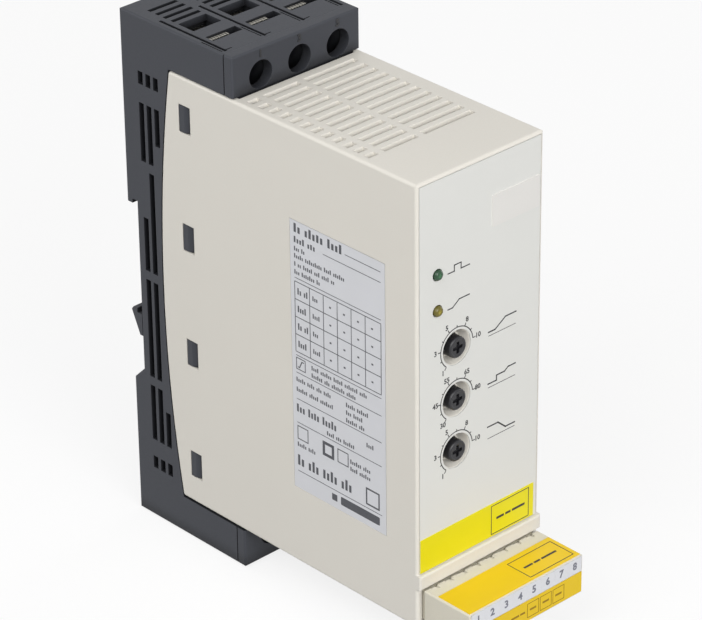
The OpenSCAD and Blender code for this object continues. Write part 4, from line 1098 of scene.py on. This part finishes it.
class SOFTSTARTER_OT_pole_figures(bpy.types.Operator):
    """Mould the pole figures above the driver holes, in the dark ink finish as painted shade of the moulding
    """

    bl_idname = "softstarter.pole_figures"
    bl_label = "Pole figures"

    FIGURES = {"line": ("1", "3", "5"), "load": ("2", "4", "6")}
    # Middle of the outer figures inwards from the ends of the row of screws
    INSET = 3.4 * MM
    # Middle of the upper row below its shroud's top, and of the lower row above its screws
    LINE_DROP = 1.9 * MM
    LOAD_RISE = 2.6 * MM

    def execute(self, context):
        sizes = context.scene.starter_sizes
        for row, words in self.FIGURES.items():
            low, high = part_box(f"{row}_shroud")
            screws_low, screws_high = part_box(f"{row}_screws")
            first = screws_low.x + self.INSET
            last = screws_high.x - self.INSET
            z = high.z - self.LINE_DROP if row == "line" else screws_high.z + self.LOAD_RISE
            figures = []
            for i, word in enumerate(words):
                place = (first + (last - first) * i / (len(words) - 1), low.y, z)
                figures.append(figure(word, sizes.pole_figure, place, FRONT, sizes.mould_depth))
            # The dark ink finish on the moulded figures is painted shade
            hand_in(unite(figures), f"{row}_pole_figures", finished("ink"), "housing", "base_plastic")
        return {"FINISHED"}


class SOFTSTARTER_OT_screws(bpy.types.Operator):
    """Model a terminal screw with a rounded head, a crossed drive and a thread, and copy it for every pole"""

    bl_idname = "softstarter.screws"
    bl_label = "Terminal screws"

    HEAD = 4.3 * MM
    RIM = 0.5 * MM
    SHANK_RADIUS = 2.0 * MM
    # Steps of the thread, by turns narrower and wider, and the width of a groove against the shank
    THREAD_STEPS = 20
    GROOVE = 0.86
    # Lengths of the slot and of the arm across it, against the head's radius
    SLOT_REACH = 2.4
    ARM_REACH = 1.3
    # Cutter for the drive: depth, of which half is in the head, width and corners
    DRIVE_DEPTH = 2.4 * MM
    DRIVE_WIDTH = 0.95 * MM
    DRIVE_CORNER = 0.2 * MM

    def execute(self, context):
        low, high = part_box("line_screws")
        radius = (high.z - low.z) / 2
        centre = Vector((low.x + radius, low.y, (low.z + high.z) / 2))
        screw = cylinder(radius, self.HEAD, (centre.x, low.y + self.HEAD / 2, centre.z), 40)
        choose(screw, "FACE", lambda f: f.normal.y < -0.9)
        bevel(self.RIM, 3)
        choose(screw, "FACE", lambda f: f.normal.y > 0.9)
        bpy.ops.mesh.inset(thickness=radius - self.SHANK_RADIUS)
        step = (high.y - low.y - self.HEAD) / self.THREAD_STEPS
        for i in range(self.THREAD_STEPS):
            push((0.0, step, 0.0))
            factor = 1.0 / self.GROOVE if i % 2 else self.GROOVE
            bpy.ops.transform.resize(value=(factor, 1.0, factor), center_override=tuple(centre))
        rest()
        for turn, reach in ((0.0, self.SLOT_REACH), (QUARTER, self.ARM_REACH)):
            size = (radius * reach, self.DRIVE_DEPTH, self.DRIVE_WIDTH)
            cut_bar(screw, tuple(centre), turn, size, self.DRIVE_CORNER,
                    lambda e: all(v.co.y > centre.y for v in e.verts))
        close(screw)
        smooth(screw, 40.0)
        pitch = (high.x - low.x - 2 * radius) / 2
        line = unite([screw, *(repeat(screw, (pitch * i, 0.0, 0.0)) for i in (1, 2))])
        load = copy_to(line, "load_screws", low)
        for name, piece in (("line", line), ("load", load)):
            hand_in(piece, f"{name}_screw_set", finished("zinc_steel"), "housing", "zinc_steel",
                    f"{name}_screws")
        return {"FINISHED"}


class SOFTSTARTER_OT_rail_spring(bpy.types.Operator):
    """Wind the rail clip's spring from round wire"""

    bl_idname = "softstarter.rail_spring"
    bl_label = "Rail spring"

    TURNS = 7
    STEPS_A_TURN = 32
    WIRE_RADIUS = 0.3 * MM
    # The clip's travel with a little play
    TRAVEL = 5.1 * MM

    def execute(self, context):
        low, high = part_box("din_clip_spring")
        centre = (low + high) / 2
        length = high.z - low.z
        rest()
        bpy.ops.mesh.primitive_circle_add(vertices=12, radius=self.WIRE_RADIUS, rotation=FRONT,
                                          location=((high.x - low.x) / 2 - self.WIRE_RADIUS, 0.0, 0.0))
        coil = settle(bpy.context.object)
        wind = coil.modifiers.new("wind", "SCREW")
        wind.iterations = self.TURNS
        wind.screw_offset = (length - 2 * self.WIRE_RADIUS) / self.TURNS
        wind.steps = self.STEPS_A_TURN
        wind.render_steps = self.STEPS_A_TURN
        bpy.ops.object.modifier_apply(modifier=wind.name)
        coil.location = (centre.x, centre.y, low.z + self.WIRE_RADIUS)
        settle(coil)
        choose(coil, "EDGE", lambda e: e.is_boundary)
        bpy.ops.mesh.fill_holes(sides=0)
        close(coil)
        smooth(coil, 60.0)
        hand_in(coil, "rail_spring", finished("zinc_steel"), "housing", "zinc_steel", "din_clip_spring")
        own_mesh(coil)
        return {"FINISHED"}


class SOFTSTARTER_OT_stage(bpy.types.Operator):
    """Set the pale floor, the soft lights and the camera"""

    bl_idname = "softstarter.stage"
    bl_label = "Studio"

    EYE = Vector((-588.95, -689.74, 474.07)) * MM
    AIM = Vector((0.0, -73.586, 1.782)) * MM
    ROLL = math.radians(-0.349)
    LENS = 190.6
    SENSOR = 36.0
    SHIFT = (-0.0523, 0.0119)
    # Nearest and farthest distance in metres that the camera shows
    CLIP = (0.05, 20.0)
    # Place and width of each lamp in metres
    LAMPS = {
        "key": ((-0.4, -1.466, 0.682), 1.2),
        "top": ((-1.05, -0.254, 1.032), 1.2),
        "right": ((1.45, 0.03, 0.22), 0.6),
        "rear": ((-0.35, 1.4, 0.25), 0.6),
    }
    # Width of the floor, gap to the part's foot and patches of its tint
    FLOOR_WIDTH = 30.0
    FLOOR_GAP = 0.4 * MM
    FLOOR_PATCH = 0.4
    # Rays that see the pale background, how far it takes over from the lit floor,
    # and the share of its light that the floor throws back at the part
    SEEN = ("Is Camera Ray", "Is Glossy Ray", "Is Transmission Ray")
    PALE = 0.8
    BOUNCE = 0.3

    def seen(self, nodes):
        """One for a ray that sees the background, and nought for the others."""
        first, *others = (nodes.add("ShaderNodeLightPath", {}, {}, ray) for ray in self.SEEN)
        return sum(others, first).held()

    def floor(self, colour):
        rest()
        bpy.ops.mesh.primitive_plane_add(size=self.FLOOR_WIDTH,
                                         location=(0.0, 0.0, CAD_BOX[0].z - self.FLOOR_GAP))
        ground = settle(bpy.context.object)
        ground.name = "floor"
        finish = Finish("floor", {"Roughness": 0.9})
        cloud = finish.noise(finish.place(), self.FLOOR_PATCH)
        seen = self.seen(finish)
        body = finish.mix(cloud, shade(colour, 0.985), tuple(colour))
        finish.set("Base Color", finish.mix(seen, shade(colour, self.BOUNCE), body))
        glow = finish.add("ShaderNodeEmission", {}, {"Color": WHITE, "Strength": 1.0})
        lit = Term(finish, finish.shader.outputs[0])
        blend = finish.add("ShaderNodeMixShader", {}, {0: seen * self.PALE, 1: lit, 2: glow})
        finish.feed(finish.tree.nodes["Material Output"].inputs["Surface"], blend)
        ground.data.materials.append(finish.material)

    def lamp(self, name, place, width, power):
        rest()
        bpy.ops.object.light_add(type="AREA", location=place)
        light = bpy.context.object
        light.name = name
        light.data.shape = "DISK"
        light.data.size = width
        light.data.energy = power
        light.rotation_euler = (self.AIM - Vector(place)).to_track_quat("-Z", "Y").to_euler()

    def world(self, strength):
        world = bpy.data.worlds.new("studio")
        world.use_nodes = True
        nodes = Nodes(world.node_tree)
        base = nodes.tree.nodes["Background"]
        nodes.feed(base.inputs["Color"], WHITE)
        nodes.feed(base.inputs["Strength"], strength)
        light = Term(nodes, base.outputs[0])
        pale = nodes.add("ShaderNodeBackground", {}, {"Color": WHITE, "Strength": 1.0})
        blend = nodes.add("ShaderNodeMixShader", {}, {0: self.seen(nodes), 1: light, 2: pale})
        nodes.feed(nodes.tree.nodes["World Output"].inputs["Surface"], blend)
        bpy.context.scene.world = world

    def camera(self):
        rest()
        bpy.ops.object.camera_add(location=self.EYE)
        camera = bpy.context.object
        back = (self.EYE - self.AIM).normalized()
        level = Vector(UPWARDS).cross(back).normalized()
        up = back.cross(level)
        right = level * math.cos(self.ROLL) + up * math.sin(self.ROLL)
        upright = up * math.cos(self.ROLL) - level * math.sin(self.ROLL)
        turn = Matrix((right, upright, back)).transposed().to_4x4()
        camera.matrix_world = Matrix.Translation(self.EYE) @ turn
        camera.data.lens = self.LENS
        camera.data.sensor_width = self.SENSOR
        camera.data.shift_x, camera.data.shift_y = self.SHIFT
        camera.data.clip_start, camera.data.clip_end = self.CLIP
        bpy.context.scene.camera = camera

    def execute(self, context):
        stage = context.scene.starter_stage
        self.floor(context.scene.starter_colours.floor)
        for name, (place, width) in self.LAMPS.items():
            self.lamp(name, place, width, getattr(stage, name))
        self.world(stage.world)
        self.camera()
        context.scene.view_settings.view_transform = "Standard"
        return {"FINISHED"}


STEPS = (
    SOFTSTARTER_OT_solids,
    SOFTSTARTER_OT_dials,
    SOFTSTARTER_OT_lights,
    SOFTSTARTER_OT_scales,
    SOFTSTARTER_OT_icons,
    SOFTSTARTER_OT_rating,
    SOFTSTARTER_OT_yellow_prints,
    SOFTSTARTER_OT_marker_strip,
    SOFTSTARTER_OT_pole_figures,
    SOFTSTARTER_OT_screws,
    SOFTSTARTER_OT_rail_spring,
    SOFTSTARTER_OT_stage,
)


class SOFTSTARTER_PT_panel(bpy.types.Panel):
    """Lists the steps that dress the soft starter, and its values"""

    bl_idname = "SOFTSTARTER_PT_panel"
    bl_label = "Soft starter"
    bl_space_type = "VIEW_3D"
    bl_region_type = "UI"
    bl_category = "Soft starter"

    def draw(self, context):
        for step in STEPS:
            self.layout.operator(step.bl_idname)
        for group in ("starter_colours", "starter_sizes", "starter_stage"):
            values = getattr(context.scene, group)
            box = self.layout.box()
            for name in values.bl_rna.properties.keys():
                if name not in ("rna_type", "name"):
                    box.prop(values, name)


CLASSES = (StarterColours, StarterSizes, StarterStage, *STEPS, SOFTSTARTER_PT_panel)


def register():
    for item in CLASSES:
        bpy.utils.register_class(item)
    bpy.types.Scene.starter_colours = PointerProperty(type=StarterColours)
    bpy.types.Scene.starter_sizes = PointerProperty(type=StarterSizes)
    bpy.types.Scene.starter_stage = PointerProperty(type=StarterStage)


def unregister():
    del bpy.types.Scene.starter_stage
    del bpy.types.Scene.starter_sizes
    del bpy.types.Scene.starter_colours
    for item in reversed(CLASSES):
        bpy.utils.unregister_class(item)


def main():
    register()
    bpy.ops.softstarter.solids()
    bpy.ops.softstarter.dials()
    bpy.ops.softstarter.lights()
    bpy.ops.softstarter.scales()
    bpy.ops.softstarter.icons()
    bpy.ops.softstarter.rating()
    bpy.ops.softstarter.yellow_prints()
    bpy.ops.softstarter.marker_strip()
    bpy.ops.softstarter.pole_figures()
    bpy.ops.softstarter.screws()
    bpy.ops.softstarter.rail_spring()
    bpy.ops.softstarter.stage()
    rest()


if __name__ == "__main__":
    main()
